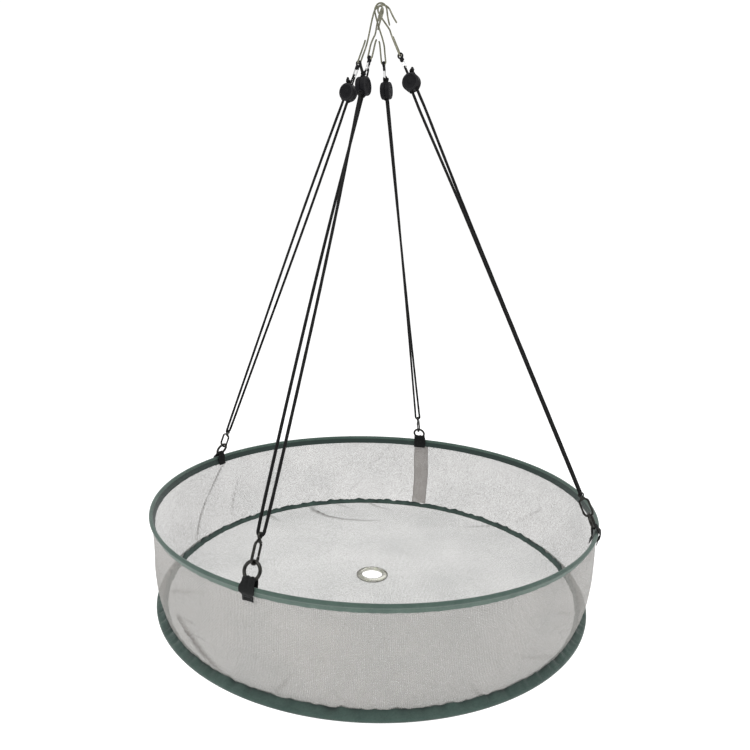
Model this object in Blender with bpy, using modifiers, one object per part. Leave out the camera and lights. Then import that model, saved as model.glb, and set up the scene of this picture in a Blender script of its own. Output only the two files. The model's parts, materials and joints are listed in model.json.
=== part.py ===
"""Hanging collapsible mesh tray: two wire hoops bound in green tape, a mesh wall and floor with a
centre grommet, and four adjustable cord hangers that meet at one hanging point.

Metres, +Z up. The origin is the hanging point, so the tray lies below it. The tray's own axis is a
little to one side of it, because the four hangers are set to slightly different lengths.
Each hanger is built in its own frame: its pivot is the lower wire of the O-ring, local Z runs up
the cord, local X points out and up, local Y runs along the hoop.
"""

import math

import bmesh
import bpy
from mathutils import Matrix, Vector

MM = 0.001

# Tray
HOOP_RADIUS = 0.3835  # upper hoop, at the wire's centre
BASE_RADIUS = 0.3755  # lower hoop, at the wire's centre
WALL_HEIGHT = 0.160  # from wire to wire
HANG_HEIGHT = 0.828  # hanging point above the upper hoop
TRAY_AXIS = (14.5 * MM, 0.0, 0.0)  # the tray's axis beside the hanging point
HOOP_WIRE = 2.0 * MM  # radius of both spring wires
HOOP_SEGMENTS = 48
TAPE = 1.0 * MM  # thickness of the binding tape
TAPE_ROUND = 3.4 * MM  # outer half width of the tape round the wire
TAPE_FLAT = 1.8 * MM  # outer half width of the tape's two flaps
FLAP = 11.0 * MM  # length of the tape's flaps from the wire
UPPER_LEAN = 158.0  # how far each tape's flaps are turned inwards from straight up, in degrees
LOWER_LEAN = 50.5
MESH = 0.8 * MM  # thickness of wall and floor
FLOOR_RISE = 1.2 * MM  # floor above the lower wire
GAP = 0.3 * MM

UPPER_Z = -HANG_HEIGHT
LOWER_Z = UPPER_Z - WALL_HEIGHT
FLOOR_Z = LOWER_Z + FLOOR_RISE

# Grommet
GROMMET_HOLE = 19.0 * MM
GROMMET_FLANGE = 29.0 * MM
GROMMET_WALL = 1.0 * MM
GROMMET_CROWN = 2.2 * MM

# Webbing tab
TAB_WIDTH = 22.0 * MM
TAB_TOP_WIDTH = 12.0 * MM  # where it folds round the O-ring
TAB_THICKNESS = 1.4 * MM
TAB_DROP = 17.0 * MM
TAB_CLEAR = 1.2 * MM  # beside the binding, which curves away behind the flat webbing
PIVOT_RISE = 9.0 * MM  # O-ring's lower wire above the upper hoop's wire
PIVOT_IN = 4.0 * MM  # and inside it, where the taut cord pulls the tab
TAB_FOLD = 4.5 * MM  # radius of the fold, at mid thickness

# O-ring
RING_RADIUS = 11.75 * MM
RING_WIRE = 1.75 * MM

# Snap hook, an outline in the hanger's X and Z
SNAP_BASE = 19.9 * MM  # local zero of the outline above the pivot
SNAP_THICKNESS = 3.0 * MM
BOW_CENTRE = 7.0
BOW_OUTER = 8.8
BOW_INNER = 5.4
SHOULDER = 23.0
EYE_CENTRE = 36.0
EYE_OUTER = 4.8
EYE_HOLE = 3.0
GATE_PIVOT = (-6.9, 24.6)
GATE_ROUND = 1.6

# Cords and adjuster
CORD = 2.0 * MM  # radius of the long cord
LOOP_CORD = 1.5 * MM  # radius of the short upper loop
CORD_CLEAR = 0.5 * MM  # round the long cord where it runs into the adjuster
DRUM_RADIUS = 14.0 * MM
DRUM_HALF = 8.5 * MM
DRUM_WALL = 1.7 * MM
DRUM_SEGMENTS = 14
WHEEL_RADIUS = 7.0 * MM
WHEEL_GROOVE = 4.3 * MM
WHEEL_HALF = 3.4 * MM
AXLE = 1.5 * MM
AXLE_HOLE = 1.8 * MM

# Top hardware, as distances below the top along the cord
EYE_DROP = 90.6 * MM
LINK_TOP = 97.0 * MM
STEM_END = 101.0 * MM
LINK_END = 112.0 * MM
LINK_WIRE = 0.8 * MM
LINK_HALF = 2.6 * MM
HOOK_WIRE = 1.4 * MM
HOOK_LOOP = 3.7 * MM  # half width of the hook's lower loop
HOOK_BEND = 11.0 * MM  # radius of the hook's top bend

# Hangers: the azimuth of the tab, the hook's top beside the hanging point and the adjuster's centre
# below it along the cord, both in millimetres, and which way the hook opens about its own shank.
# The hooks hang side by side, so their tops are a few millimetres apart.
HANGERS = {
    "front": {"azimuth": -114.0, "top": (2.2, -10.5, -20.7), "drop": 141.0, "hook_roll": 38.3},
    "right": {"azimuth": -23.0, "top": (-0.2, 8.8, -3.5), "drop": 138.0, "hook_roll": 45.7},
    "back": {"azimuth": 74.0, "top": (-2.7, 9.2, 0.0), "drop": 132.0, "hook_roll": -48.4},
    "left": {"azimuth": 150.5, "top": (0.3, -2.9, -8.3), "drop": 138.0, "hook_roll": 164.3},
}

# Route of the long cord in millimetres: out, along the hoop, up from the pivot. It starts at the
# knotted tail above the adjuster, runs down to the snap hook's eye and back up into the adjuster.
# The heights above EYE and below DRUM are measured from the drum's centre.
TAIL_ROUTE = [(11.0, 0.0, 27.0), (10.0, 0.0, 21.5), (8.2, 0.0, 16.5), (7.2, 0.0, 11.0)]
WHEEL_ROUTE = [(6.8, 0.0, 5.0), (6.7, 0.0, 0.0), (6.5, 0.0, -5.0), (5.2, 0.0, -10.0)]
ANCHOR_ROUTE = [(-5.2, 0.0, -10.0), (-6.5, 0.0, -5.0), (-6.7, 0.0, 0.0), (-6.8, 0.0, 3.0)]
# Half spread of the two strands at shares of the way from the eye to the adjuster.
SPREAD = [(0.0, 4.8), (0.02, 5.2), (0.06, 5.6), (0.15, 6.0), (0.3, 6.2), (0.5, 6.2), (0.7, 5.8),
          (0.85, 5.2), (0.95, 4.7), (1.0, 4.4)]

CORD_EYE_Z = SNAP_BASE + EYE_CENTRE * MM

COLOURS = {
    "tape": ((0.055, 0.105, 0.085), 0.75, 0.0),
    "mesh": ((0.55, 0.54, 0.52), 0.8, 0.0),
    "wire": ((0.35, 0.35, 0.36), 0.35, 1.0),
    "nickel": ((0.55, 0.54, 0.50), 0.25, 1.0),
    "gunmetal": ((0.05, 0.05, 0.05), 0.35, 1.0),
    "webbing": ((0.012, 0.012, 0.014), 0.85, 0.0),
    "cord": ((0.010, 0.010, 0.011), 0.8, 0.0),
    "plastic": ((0.018, 0.018, 0.021), 0.5, 0.0),
    "steel": ((0.5, 0.5, 0.5), 0.3, 1.0),
}


# Scene helpers


def clear_scene():
    for old in list(bpy.data.objects):
        bpy.data.objects.remove(old, do_unlink=True)


def make_collection(name, hidden=False):
    made = bpy.data.collections.new(name)
    bpy.context.scene.collection.children.link(made)
    made.hide_render = hidden
    return made


def make_material(name):
    colour, roughness, metallic = COLOURS[name]
    made = bpy.data.materials.new(name)
    made.use_nodes = True
    shader = made.node_tree.nodes["Principled BSDF"]
    shader.inputs["Base Color"].default_value = (*colour, 1.0)
    shader.inputs["Roughness"].default_value = roughness
    shader.inputs["Metallic"].default_value = metallic
    made.diffuse_color = (*colour, 1.0)
    return made


def add_object(name, data, material, parent=None, location=(0, 0, 0), rotation=(0, 0, 0)):
    made = bpy.data.objects.new(name, data)
    PARTS.objects.link(made)
    made.location = location
    made.rotation_euler = rotation
    made.parent = parent
    if data is not None:
        data.materials.append(MATERIALS[material])
    return made


def add_cutter(name, data, parent, location=(0, 0, 0), rotation=(0, 0, 0)):
    made = bpy.data.objects.new(name, data)
    CUTTERS.objects.link(made)
    made.location = location
    made.rotation_euler = rotation
    made.parent = parent
    made.hide_render = True
    made.display_type = "WIRE"
    return made


def cut(target, cutter):
    mod = target.modifiers.new(cutter.name, "BOOLEAN")
    mod.operation = "DIFFERENCE"
    mod.solver = "EXACT"
    mod.object = cutter


# Shapes


def arc(centre, radius, start, end, steps):
    """Points on a circle, from one angle to another in degrees, both ends kept."""
    points = []
    for i in range(steps + 1):
        angle = math.radians(start + (end - start) * i / steps)
        points.append((centre[0] + radius * math.cos(angle), centre[1] + radius * math.sin(angle)))
    return points


def turned(name, profile, material, steps, parent=None, location=(0, 0, 0), rotation=(0, 0, 0)):
    """Turns a closed profile of (radius, height) about local Z."""
    data = bpy.data.meshes.new(name)
    edges = [(i, (i + 1) % len(profile)) for i in range(len(profile))]
    data.from_pydata([(r, 0.0, z) for r, z in profile], edges, [])
    made = add_object(name, data, material, parent, location, rotation)
    screw = made.modifiers.new("turn", "SCREW")
    screw.angle = math.tau
    screw.steps = steps
    screw.render_steps = steps
    screw.use_merge_vertices = True
    screw.merge_threshold = 0.00001
    return made


def wire(name, points, radius, material, parent=None, location=(0, 0, 0), resolution=2):
    """A round wire or cord along points."""
    data = bpy.data.curves.new(name, "CURVE")
    data.dimensions = "3D"
    data.bevel_depth = radius
    data.bevel_resolution = resolution
    data.use_fill_caps = True
    spline = data.splines.new("POLY")
    spline.points.add(len(points) - 1)
    for target, point in zip(spline.points, points):
        target.co = (*point, 1.0)
    return add_object(name, data, material, parent, location)


def plate(name, outlines, thickness, material, parent=None, location=(0, 0, 0)):
    """A flat piece in local X and Z from closed outlines: the first is its edge, the rest holes."""
    data = bpy.data.curves.new(name, "CURVE")
    data.dimensions = "2D"
    data.fill_mode = "BOTH"
    data.extrude = thickness / 2
    for outline in outlines:
        spline = data.splines.new("POLY")
        spline.points.add(len(outline) - 1)
        spline.use_cyclic_u = True
        for target, point in zip(spline.points, outline):
            target.co = (*point, 0.0, 1.0)
    return add_object(name, data, material, parent, location, (math.pi / 2, 0, 0))


def ring(name, major, minor, material, parent, location=(0, 0, 0), rotation=(0, 0, 0)):
    """A round wire ring, in local X and Y before it is turned."""
    profile = arc((major, 0.0), minor, 90, -270, 6)[:-1]
    return turned(name, profile, material, 18, parent, location, rotation)


def smooth(points, spacing):
    """Points about one spacing apart on a smooth curve through the given ones."""
    points = [Vector(p) for p in points]
    ends = [2 * points[0] - points[1]] + points + [2 * points[-1] - points[-2]]
    made = []
    for before, start, end, after in zip(ends, ends[1:], ends[2:], ends[3:]):
        steps = max(1, round((end - start).length / spacing))
        for i in range(steps):
            made.append(between(before, start, end, after, i / steps))
    made.append(points[-1])
    return made


def between(before, start, end, after, t):
    """A point on a centripetal-like cubic from start to end."""
    span = (end - start).length
    leave = (end - before) / max((end - before).length, 1e-9) * span
    arrive = (after - start) / max((after - start).length, 1e-9) * span
    return (
        (2 * t**3 - 3 * t**2 + 1) * start
        + (t**3 - 2 * t**2 + t) * leave
        + (3 * t**2 - 2 * t**3) * end
        + (t**3 - t**2) * arrive
    )


# Tray


def leaned(point, degrees):
    """A point of a section turned about the wire's centre, from up towards the tray's inside."""
    turn = math.radians(degrees)
    x, z = point
    return x * math.cos(turn) - z * math.sin(turn), x * math.sin(turn) + z * math.cos(turn)


def tape_profile(lean):
    """Section of the folded tape about the wire's centre, as offsets from the hoop's radius."""
    inner_round, inner_flat = TAPE_ROUND - TAPE, TAPE_FLAT - TAPE
    outside = [(TAPE_FLAT, FLAP), (TAPE_ROUND, 0.6 * MM), (2.2 * MM, -TAPE_ROUND)]
    inside = [(-2.2 * MM, -TAPE_ROUND), (-TAPE_ROUND, 0.6 * MM), (-TAPE_FLAT, FLAP)]
    hollow = [
        (-inner_flat, FLAP),
        (-inner_round, 0.8 * MM),
        (-1.5 * MM, -inner_round),
        (1.5 * MM, -inner_round),
        (inner_round, 0.8 * MM),
        (inner_flat, FLAP),
    ]
    return [leaned(point, lean) for point in outside + inside + hollow]


def make_tape(name, radius, height, section):
    profile = [(radius + x, height + z) for x, z in section]
    return turned(name, profile, "tape", HOOP_SEGMENTS, location=TRAY_AXIS)


def make_hoops():
    lower = tape_profile(LOWER_LEAN)
    lower[3:5] = [(2.2 * MM, -TAPE_ROUND), (-2.4 * MM, -TAPE_ROUND)]  # the flat foot it stands on
    make_tape("upper_binding", HOOP_RADIUS, UPPER_Z, tape_profile(UPPER_LEAN))
    make_tape("lower_binding", BASE_RADIUS, LOWER_Z, lower)
    for name, radius, height in (
        ("upper_hoop_wire", HOOP_RADIUS, UPPER_Z),
        ("lower_hoop_wire", BASE_RADIUS, LOWER_Z),
    ):
        profile = [(radius + x, height + z) for x, z in arc((0, 0), HOOP_WIRE, 90, -270, 6)[:-1]]
        turned(name, profile, "wire", HOOP_SEGMENTS, location=TRAY_AXIS)


def strip(line, half):
    """A closed section that follows a line, half to each side of it."""
    left, right = [], []
    for before, point, after in zip([line[0]] + line, line, line[1:] + [line[-1]]):
        ways = [Vector(b) - Vector(a) for a, b in ((before, point), (point, after)) if a != b]
        normals = [Vector((-way.y, way.x)).normalized() for way in ways]
        middle = (normals[0] + normals[-1]).normalized()
        offset = middle * (half / middle.dot(normals[0]))
        left.append(tuple(Vector(point) + offset))
        right.append(tuple(Vector(point) - offset))
    return left + right[::-1]


def make_wall():
    """The mesh wall, held between the flaps of both tapes."""
    line = []
    for radius, height, lean, reaches in (
        (HOOP_RADIUS, UPPER_Z, UPPER_LEAN, (3.6, 12.2)),
        (BASE_RADIUS, LOWER_Z, LOWER_LEAN, (12.2, 3.6)),
    ):
        for reach in reaches:
            x, z = leaned((0.0, reach * MM), lean)
            line.append((radius + x, height + z))
    turned("side_mesh", strip(line, MESH / 2), "mesh", HOOP_SEGMENTS, location=TRAY_AXIS)


def make_floor():
    half = MESH / 2
    hole = GROMMET_HOLE + GROMMET_WALL + GAP
    rim = BASE_RADIUS - 7 * MM
    profile = [
        (hole, FLOOR_Z + half),
        (rim, FLOOR_Z + half),
        (rim, FLOOR_Z - half),
        (hole, FLOOR_Z - half),
    ]
    turned("floor_mesh", profile, "mesh", HOOP_SEGMENTS, location=TRAY_AXIS)


def make_grommet():
    """The face has the barrel, and the washer grips the mesh from below."""
    top = FLOOR_Z + MESH / 2 + GAP
    under = FLOOR_Z - MESH / 2 - GAP
    barrel = GROMMET_HOLE + GROMMET_WALL
    foot = under - GROMMET_WALL
    face = [
        (GROMMET_HOLE, top + 1.2 * MM),
        (GROMMET_HOLE + 3 * MM, top + GROMMET_CROWN),
        (GROMMET_FLANGE - 3 * MM, top + 1.6 * MM),
        (GROMMET_FLANGE, top + 0.5 * MM),
        (GROMMET_FLANGE, top),
        (barrel, top),
        (barrel, foot),
        (GROMMET_HOLE, foot),
    ]
    washer = [
        (barrel + GAP, under),
        (GROMMET_FLANGE, under),
        (GROMMET_FLANGE, under - 0.6 * MM),
        (GROMMET_FLANGE - 3 * MM, foot),
        (barrel + GAP, foot),
    ]
    turned("grommet_face", face, "nickel", 28, location=TRAY_AXIS)
    turned("grommet_washer", washer, "nickel", 28, location=TRAY_AXIS)


# Hanger


def tab_line():
    """The webbing's route from its outer end, over the O-ring and down inside, as (out, up). Its
    ends follow the tape's flaps, and its fold is drawn in by the cord."""
    flat = TAPE_FLAT + TAB_CLEAR + TAB_THICKNESS / 2
    proud = TAPE_ROUND + TAB_CLEAR + TAB_THICKNESS / 2
    fold = [(x - PIVOT_IN, z) for x, z in arc((0.0, PIVOT_RISE), TAB_FOLD, 0, 180, 8)]
    down = UPPER_LEAN - 180
    outer = [leaned((flat, -height), down) for height in (TAB_DROP, FLAP + 1 * MM)]
    inner = [leaned((-flat, -height), down) for height in (FLAP + 1 * MM, TAB_DROP)]
    start = outer + [(proud, -3 * MM), (proud, 3 * MM)]
    end = [(-proud - 1 * MM, 3 * MM), (-proud - 1 * MM, -2 * MM)] + inner
    return start + fold + end


def tab_half_width(height):
    """Full width beside the hoop, and narrower where the webbing bunches into the ring."""
    share = min(1.0, max(0.0, (height - 1.5 * MM) / (5 * MM)))
    return (TAB_WIDTH + (TAB_TOP_WIDTH - TAB_WIDTH) * share) / 2


def make_tab(side, frame):
    line = tab_line()
    shape = bmesh.new()
    bmesh.ops.create_grid(shape, x_segments=len(line) - 1, y_segments=1, size=1.0)
    for vertex in shape.verts:
        out, height = line[round((vertex.co.x + 1) / 2 * (len(line) - 1))]
        across = math.copysign(tab_half_width(height), vertex.co.y)
        vertex.co = (out, across, height)
    data = bpy.data.meshes.new(f"webbing_tab_{side}")
    shape.to_mesh(data)
    shape.free()
    made = add_object(f"webbing_tab_{side}", data, "webbing", frame)
    thick = made.modifiers.new("webbing", "SOLIDIFY")
    thick.thickness = TAB_THICKNESS
    thick.offset = 0
    thick.use_even_offset = True
    return made


def snap_outlines():
    """The snap hook's body in millimetres: a C that the gate closes, under a round eye."""
    bow = arc((0, BOW_CENTRE), BOW_OUTER, 180, 360, 10)
    shoulder = arc((2.0, SHOULDER), BOW_OUTER - 2.0, 0, 62, 4)
    eye = arc((0, EYE_CENTRE), EYE_OUTER, -60, 240, 10)
    lug = arc(GATE_PIVOT, GATE_ROUND + 0.3, 112, 15, 3)
    inner_shoulder = arc((0.6, SHOULDER), BOW_INNER - 0.6, 75, 0, 4)
    inner_bow = arc((0, BOW_CENTRE), BOW_INNER, 0, -180, 8)
    nose = [(-BOW_INNER, 9.2), (-BOW_OUTER, 9.2)]
    edge = bow + shoulder + eye + lug + inner_shoulder + inner_bow + nose
    hole = arc((0, EYE_CENTRE), EYE_HOLE, 0, 360, 10)[:-1]
    return [[(x * MM, z * MM) for x, z in edge], [(x * MM, z * MM) for x, z in hole]]


def gate_outline():
    """The gate in millimetres about its pivot: it closes on the nose of the body."""
    top = arc((0, 0), GATE_ROUND, 180, 0, 6)
    tip = GATE_PIVOT[1] - 9.5
    left, right = -BOW_OUTER + 0.3 - GATE_PIVOT[0], -BOW_INNER - 0.3 - GATE_PIVOT[0]
    foot = [(right, -tip), (left, -tip)]
    return [[(x * MM, z * MM) for x, z in top + foot]]


def strand(sign, drum_z):
    """One strand of the long cord from the eye up to the adjuster, with a quarter turn of twist:
    the two lie side by side along the hoop at the eye, one above the other at the top."""
    low, high = CORD_EYE_Z + 5.5 * MM, drum_z - 15.0 * MM
    points = []
    for share, spread in SPREAD:
        twist = math.radians(90 * (1 - share))
        out = sign * spread * math.cos(twist) * MM
        along = sign * spread * math.sin(twist) * MM
        points.append((out, along, low + (high - low) * share))
    return points


def long_cord_route(drum_z):
    drum = [(x * MM, y * MM, drum_z + z * MM) for x, y, z in TAIL_ROUTE + WHEEL_ROUTE]
    anchor = [(x * MM, y * MM, drum_z + z * MM) for x, y, z in ANCHOR_ROUTE]
    turn = [
        (0.0, y * MM, CORD_EYE_Z + 4.8 * MM - z * MM)
        for y, z in arc((0, 0), 4.8, 18, 162, 6)
    ]
    return drum + strand(1, drum_z)[::-1] + turn + strand(-1, drum_z) + anchor


def make_cords(side, frame, length, drum_z):
    points = thinned(smooth(long_cord_route(drum_z), 2.5 * MM), 50 * MM, 5)
    wire(f"cord_{side}", points, CORD, "cord", frame)
    low = drum_z + 9.0 * MM
    top = length - LINK_END + LINK_WIRE + LOOP_CORD + 0.15 * MM
    bend = LINK_WIRE + LOOP_CORD + 0.15 * MM
    turn = [(0.0, y, z + top - bend) for y, z in arc((0, 0), bend, 0, 180, 6)]
    legs_up = [(0.0, bend, low), (0.0, bend, low + 6 * MM)]
    legs_down = [(0.0, -bend, low + 6 * MM), (0.0, -bend, low)]
    wire(f"loop_cord_{side}", legs_up + turn + legs_down, LOOP_CORD, "cord", frame)


def thinned(points, longest, most_degrees):
    """Drops points where a line runs straight, so that no kept step bends or runs on too far."""
    kept = [points[0]]
    for before, point, after in zip(points, points[1:], points[2:]):
        bend = math.degrees((point - kept[-1]).angle(after - point, 0.0))
        if bend > most_degrees or (after - kept[-1]).length > longest:
            kept.append(point)
    kept.append(points[-1])
    return kept


def drum_profile():
    """Half of the adjuster's drum as (radius, distance from the seam), a cup with a boss."""
    face, floor = DRUM_HALF, DRUM_HALF - DRUM_WALL
    boss = WHEEL_HALF + 0.4 * MM
    return [
        (0.0, face),
        (DRUM_RADIUS - 2 * MM, face),
        (DRUM_RADIUS, face - 2 * MM),
        (DRUM_RADIUS, GAP / 2),
        (DRUM_RADIUS - DRUM_WALL, GAP / 2),
        (DRUM_RADIUS - DRUM_WALL, floor),
        (3.4 * MM, floor),
        (3.4 * MM, boss),
        (AXLE_HOLE, boss),
        (AXLE_HOLE, floor),
        (0.0, floor),
    ]


def make_drum_shell(name, frame, centre, outward, cutters):
    """A half turned about the seam's normal. The boss's blind hole holds the axle."""
    data = bpy.data.meshes.new(name)
    profile = drum_profile()
    edges = [(i, i + 1) for i in range(len(profile) - 1)]
    data.from_pydata([(r, 0.0, z) for r, z in profile], edges, [])
    turn = (-math.pi / 2, 0, 0) if outward > 0 else (math.pi / 2, 0, 0)
    made = add_object(name, data, "plastic", frame, centre, turn)
    screw = made.modifiers.new("turn", "SCREW")
    screw.angle = math.tau
    screw.steps = DRUM_SEGMENTS
    screw.render_steps = DRUM_SEGMENTS
    screw.use_merge_vertices = True
    screw.merge_threshold = 0.00001
    weld = made.modifiers.new("centre", "WELD")
    weld.merge_threshold = 0.00001
    for cutter in cutters:
        cut(made, cutter)
    return made


def cylinder_mesh(name, radius, length, sides):
    shape = bmesh.new()
    bmesh.ops.create_cone(
        shape,
        cap_ends=True,
        segments=sides,
        radius1=radius,
        radius2=radius,
        depth=length,
    )
    data = bpy.data.meshes.new(name)
    shape.to_mesh(data)
    shape.free()
    return data


def drum_cutters(side, frame, drum_z):
    """The holes that the cords run through: two below and one above on the seam for the long
    cord, and one in each half above for the short loop."""
    made = []
    places = [
        ("low_out", 4.8, 0.0, -12.5, CORD + CORD_CLEAR, 9),
        ("low_in", -4.8, 0.0, -12.5, CORD + CORD_CLEAR, -9),
        ("tail", 7.5, 0.0, 12.0, CORD + CORD_CLEAR, 12),
        ("loop_front", 0.0, 2.45, 13.0, LOOP_CORD + GAP, 0),
        ("loop_back", 0.0, -2.45, 13.0, LOOP_CORD + GAP, 0),
    ]
    for name, out, along, up, radius, lean in places:
        data = cylinder_mesh(f"cut_{name}_{side}", radius, 9 * MM, 12)
        place = (out * MM, along * MM, drum_z + up * MM)
        made.append(add_cutter(data.name, data, frame, place, (0, math.radians(lean), 0)))
    return made


def make_adjuster(side, frame, drum_z):
    centre = (0.0, 0.0, drum_z)
    cutters = drum_cutters(side, frame, drum_z)
    make_drum_shell(f"adjuster_cover_{side}", frame, centre, 1, cutters)
    make_drum_shell(f"adjuster_case_{side}", frame, centre, -1, cutters)
    groove = [
        (WHEEL_RADIUS, WHEEL_HALF),
        (WHEEL_RADIUS, 2.6 * MM),
        (WHEEL_GROOVE, 1.6 * MM),
        (WHEEL_GROOVE, -1.6 * MM),
        (WHEEL_RADIUS, -2.6 * MM),
        (WHEEL_RADIUS, -WHEEL_HALF),
        (AXLE_HOLE, -WHEEL_HALF),
        (AXLE_HOLE, WHEEL_HALF),
    ]
    turned(f"cord_wheel_{side}", groove, "plastic", 14, frame, centre, (math.pi / 2, 0, 0))
    length = 2 * (DRUM_HALF - DRUM_WALL - GAP)
    data = cylinder_mesh(f"wheel_axle_{side}", AXLE, length, 12)
    add_object(data.name, data, "steel", frame, centre, (math.pi / 2, 0, 0))


def eye_outlines():
    """The black eye: a flat ring on a stem, about the centre of its hole."""
    outer, hole = 5.0 * MM, 2.4 * MM
    stem = EYE_DROP - STEM_END
    edge = arc((0, 0), outer, -50, 230, 12) + [(-3.9 * MM, stem), (3.9 * MM, stem)]
    return [edge, arc((0, 0), hole, 0, 360, 10)[:-1]]


def make_eye_and_link(side, frame, length):
    centre = (0.0, 0.0, length - EYE_DROP)
    flat = plate(f"eye_{side}", eye_outlines(), 3.0 * MM, "plastic", frame, centre)
    eye = as_mesh(flat)
    for sign in (-1, 1):
        name = f"cut_eye_{side}_{'out' if sign > 0 else 'in'}"
        data = cylinder_mesh(name, LINK_WIRE + 0.25 * MM, 12 * MM, 10)
        up = length - LINK_TOP - 6 * MM + GAP
        cut(eye, add_cutter(name, data, frame, (sign * LINK_HALF, 0.0, up)))
    top = length - LINK_TOP
    low = length - LINK_END
    bend = [(x, 0.0, low + LINK_HALF + z) for x, z in arc((0, 0), LINK_HALF, 0, -180, 6)]
    points = [(LINK_HALF, 0.0, top)] + bend + [(-LINK_HALF, 0.0, top)]
    wire(f"link_{side}", points, LINK_WIRE, "nickel", frame, resolution=1)


def as_mesh(curve_object):
    """The same object with its shape made a mesh, closed where the curve's caps meet its sides."""
    bpy.context.view_layer.update()
    evaluated = curve_object.evaluated_get(bpy.context.evaluated_depsgraph_get())
    data = bpy.data.meshes.new_from_object(evaluated)
    shape = bmesh.new()
    shape.from_mesh(data)
    bmesh.ops.remove_doubles(shape, verts=shape.verts, dist=0.000001)
    shape.to_mesh(data)
    shape.free()
    name, parent, world = curve_object.name, curve_object.parent, curve_object.matrix_world.copy()
    old = curve_object.data
    bpy.data.objects.remove(curve_object)
    bpy.data.curves.remove(old)
    made = bpy.data.objects.new(name, data)
    PARTS.objects.link(made)
    made.parent = parent
    made.matrix_world = world
    return made


def hook_line(roll):
    """The top hook about the eye's centre: a narrow lower loop, a shank, and a wide top bend that
    opens towards the roll angle. Its free lower end stops just short of the shank."""
    top = EYE_DROP
    open_way = Vector((math.cos(math.radians(roll)), math.sin(math.radians(roll)), 0.0))
    free_end = [(0.0, 1.9 * MM + HOOK_WIRE + 1.2 * MM, 36 * MM), (0.0, HOOK_LOOP, 31 * MM)]
    side_in = [(0.0, HOOK_LOOP, 16 * MM)]
    turn = [(0.0, y, HOOK_LOOP + z) for y, z in arc((0, 0), HOOK_LOOP, 0, -180, 6)]
    side_out = [(0.0, -HOOK_LOOP, 16 * MM), (0.0, -HOOK_LOOP, 28 * MM), (0.0, -1.6 * MM, 40 * MM)]
    shank = [Vector((0.0, 0.0, 46 * MM)), open_way * -5 * MM + Vector((0, 0, 66 * MM))]
    bend_top = top - HOOK_WIRE
    centre = bend_top - HOOK_BEND
    middle = HOOK_BEND - 7 * MM
    bend = [
        open_way * (middle + x) + Vector((0, 0, centre + z))
        for x, z in arc((0, 0), HOOK_BEND, 180, 0, 8)
    ]
    tip = [
        open_way * (middle + HOOK_BEND + 0.6 * MM) + Vector((0, 0, centre - 11 * MM)),
        open_way * (middle + HOOK_BEND + 2.6 * MM) + Vector((0, 0, centre - 23 * MM)),
    ]
    points = free_end + side_in + turn + side_out + shank + bend + tip
    return [Vector(p) for p in points]


def make_hook(side, frame, length, roll):
    place = (0.0, 0.0, length - EYE_DROP)
    wire(f"top_hook_{side}", hook_line(roll), HOOK_WIRE, "nickel", frame, place, 1)


def make_hanger(side, azimuth, top, drop, hook_roll):
    turn = math.radians(azimuth)
    outward = Vector((math.cos(turn), math.sin(turn), 0.0))
    foot = Vector(TRAY_AXIS) + outward * HOOP_RADIUS + Vector((0, 0, UPPER_Z))
    tab_frame = add_object(f"{side}_tab_frame", None, None, None, foot, (0, 0, turn))
    make_tab(side, tab_frame)
    pivot = foot + Vector((0, 0, PIVOT_RISE)) - outward * PIVOT_IN
    line = Vector(top) * MM - pivot
    length = line.length
    drum_z = length - drop * MM
    frame = add_object(f"{side}_swing", None, None, None, pivot, swing_turn(outward, line))
    ring(f"o_ring_{side}", RING_RADIUS, RING_WIRE, "gunmetal", frame, (0, 0, RING_RADIUS),
         (0, math.pi / 2, 0))
    plate(f"snap_hook_{side}", snap_outlines(), SNAP_THICKNESS, "gunmetal", frame,
          (0, 0, SNAP_BASE))
    hinge = (GATE_PIVOT[0] * MM, 0, SNAP_BASE + GATE_PIVOT[1] * MM)
    plate(f"snap_gate_{side}", gate_outline(), SNAP_THICKNESS - 0.4 * MM, "gunmetal", frame, hinge)
    make_cords(side, frame, length, drum_z)
    make_adjuster(side, frame, drum_z)
    make_eye_and_link(side, frame, length)
    make_hook(side, frame, length, hook_roll)


def swing_turn(outward, line):
    """The turn that sets local Z along the hanger's line, with local Y along the hoop."""
    z = line.normalized()
    along = Vector((-outward.y, outward.x, 0.0))
    y = (along - z * along.dot(z)).normalized()
    return Matrix((y.cross(z), y, z)).transposed().to_euler()


clear_scene()
PARTS = make_collection("hanging_mesh_tray")
CUTTERS = make_collection("cutters", hidden=True)
MATERIALS = {name: make_material(name) for name in COLOURS}
make_hoops()
make_wall()
make_floor()
make_grommet()
for side_name, values in HANGERS.items():
    make_hanger(side_name, **values)
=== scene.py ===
"""Looks of the hanging collapsible mesh tray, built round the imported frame.

Metres, +Z up, in the row frame. The origin is the hanging point. Each hanger is built in its own
frame, taken from the record's joints: local Z runs up the cord, X points out and up, Y runs along
the hoop."""

import json
import math
import random

import bmesh
import bpy
from mathutils import Matrix, Vector, noise


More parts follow.
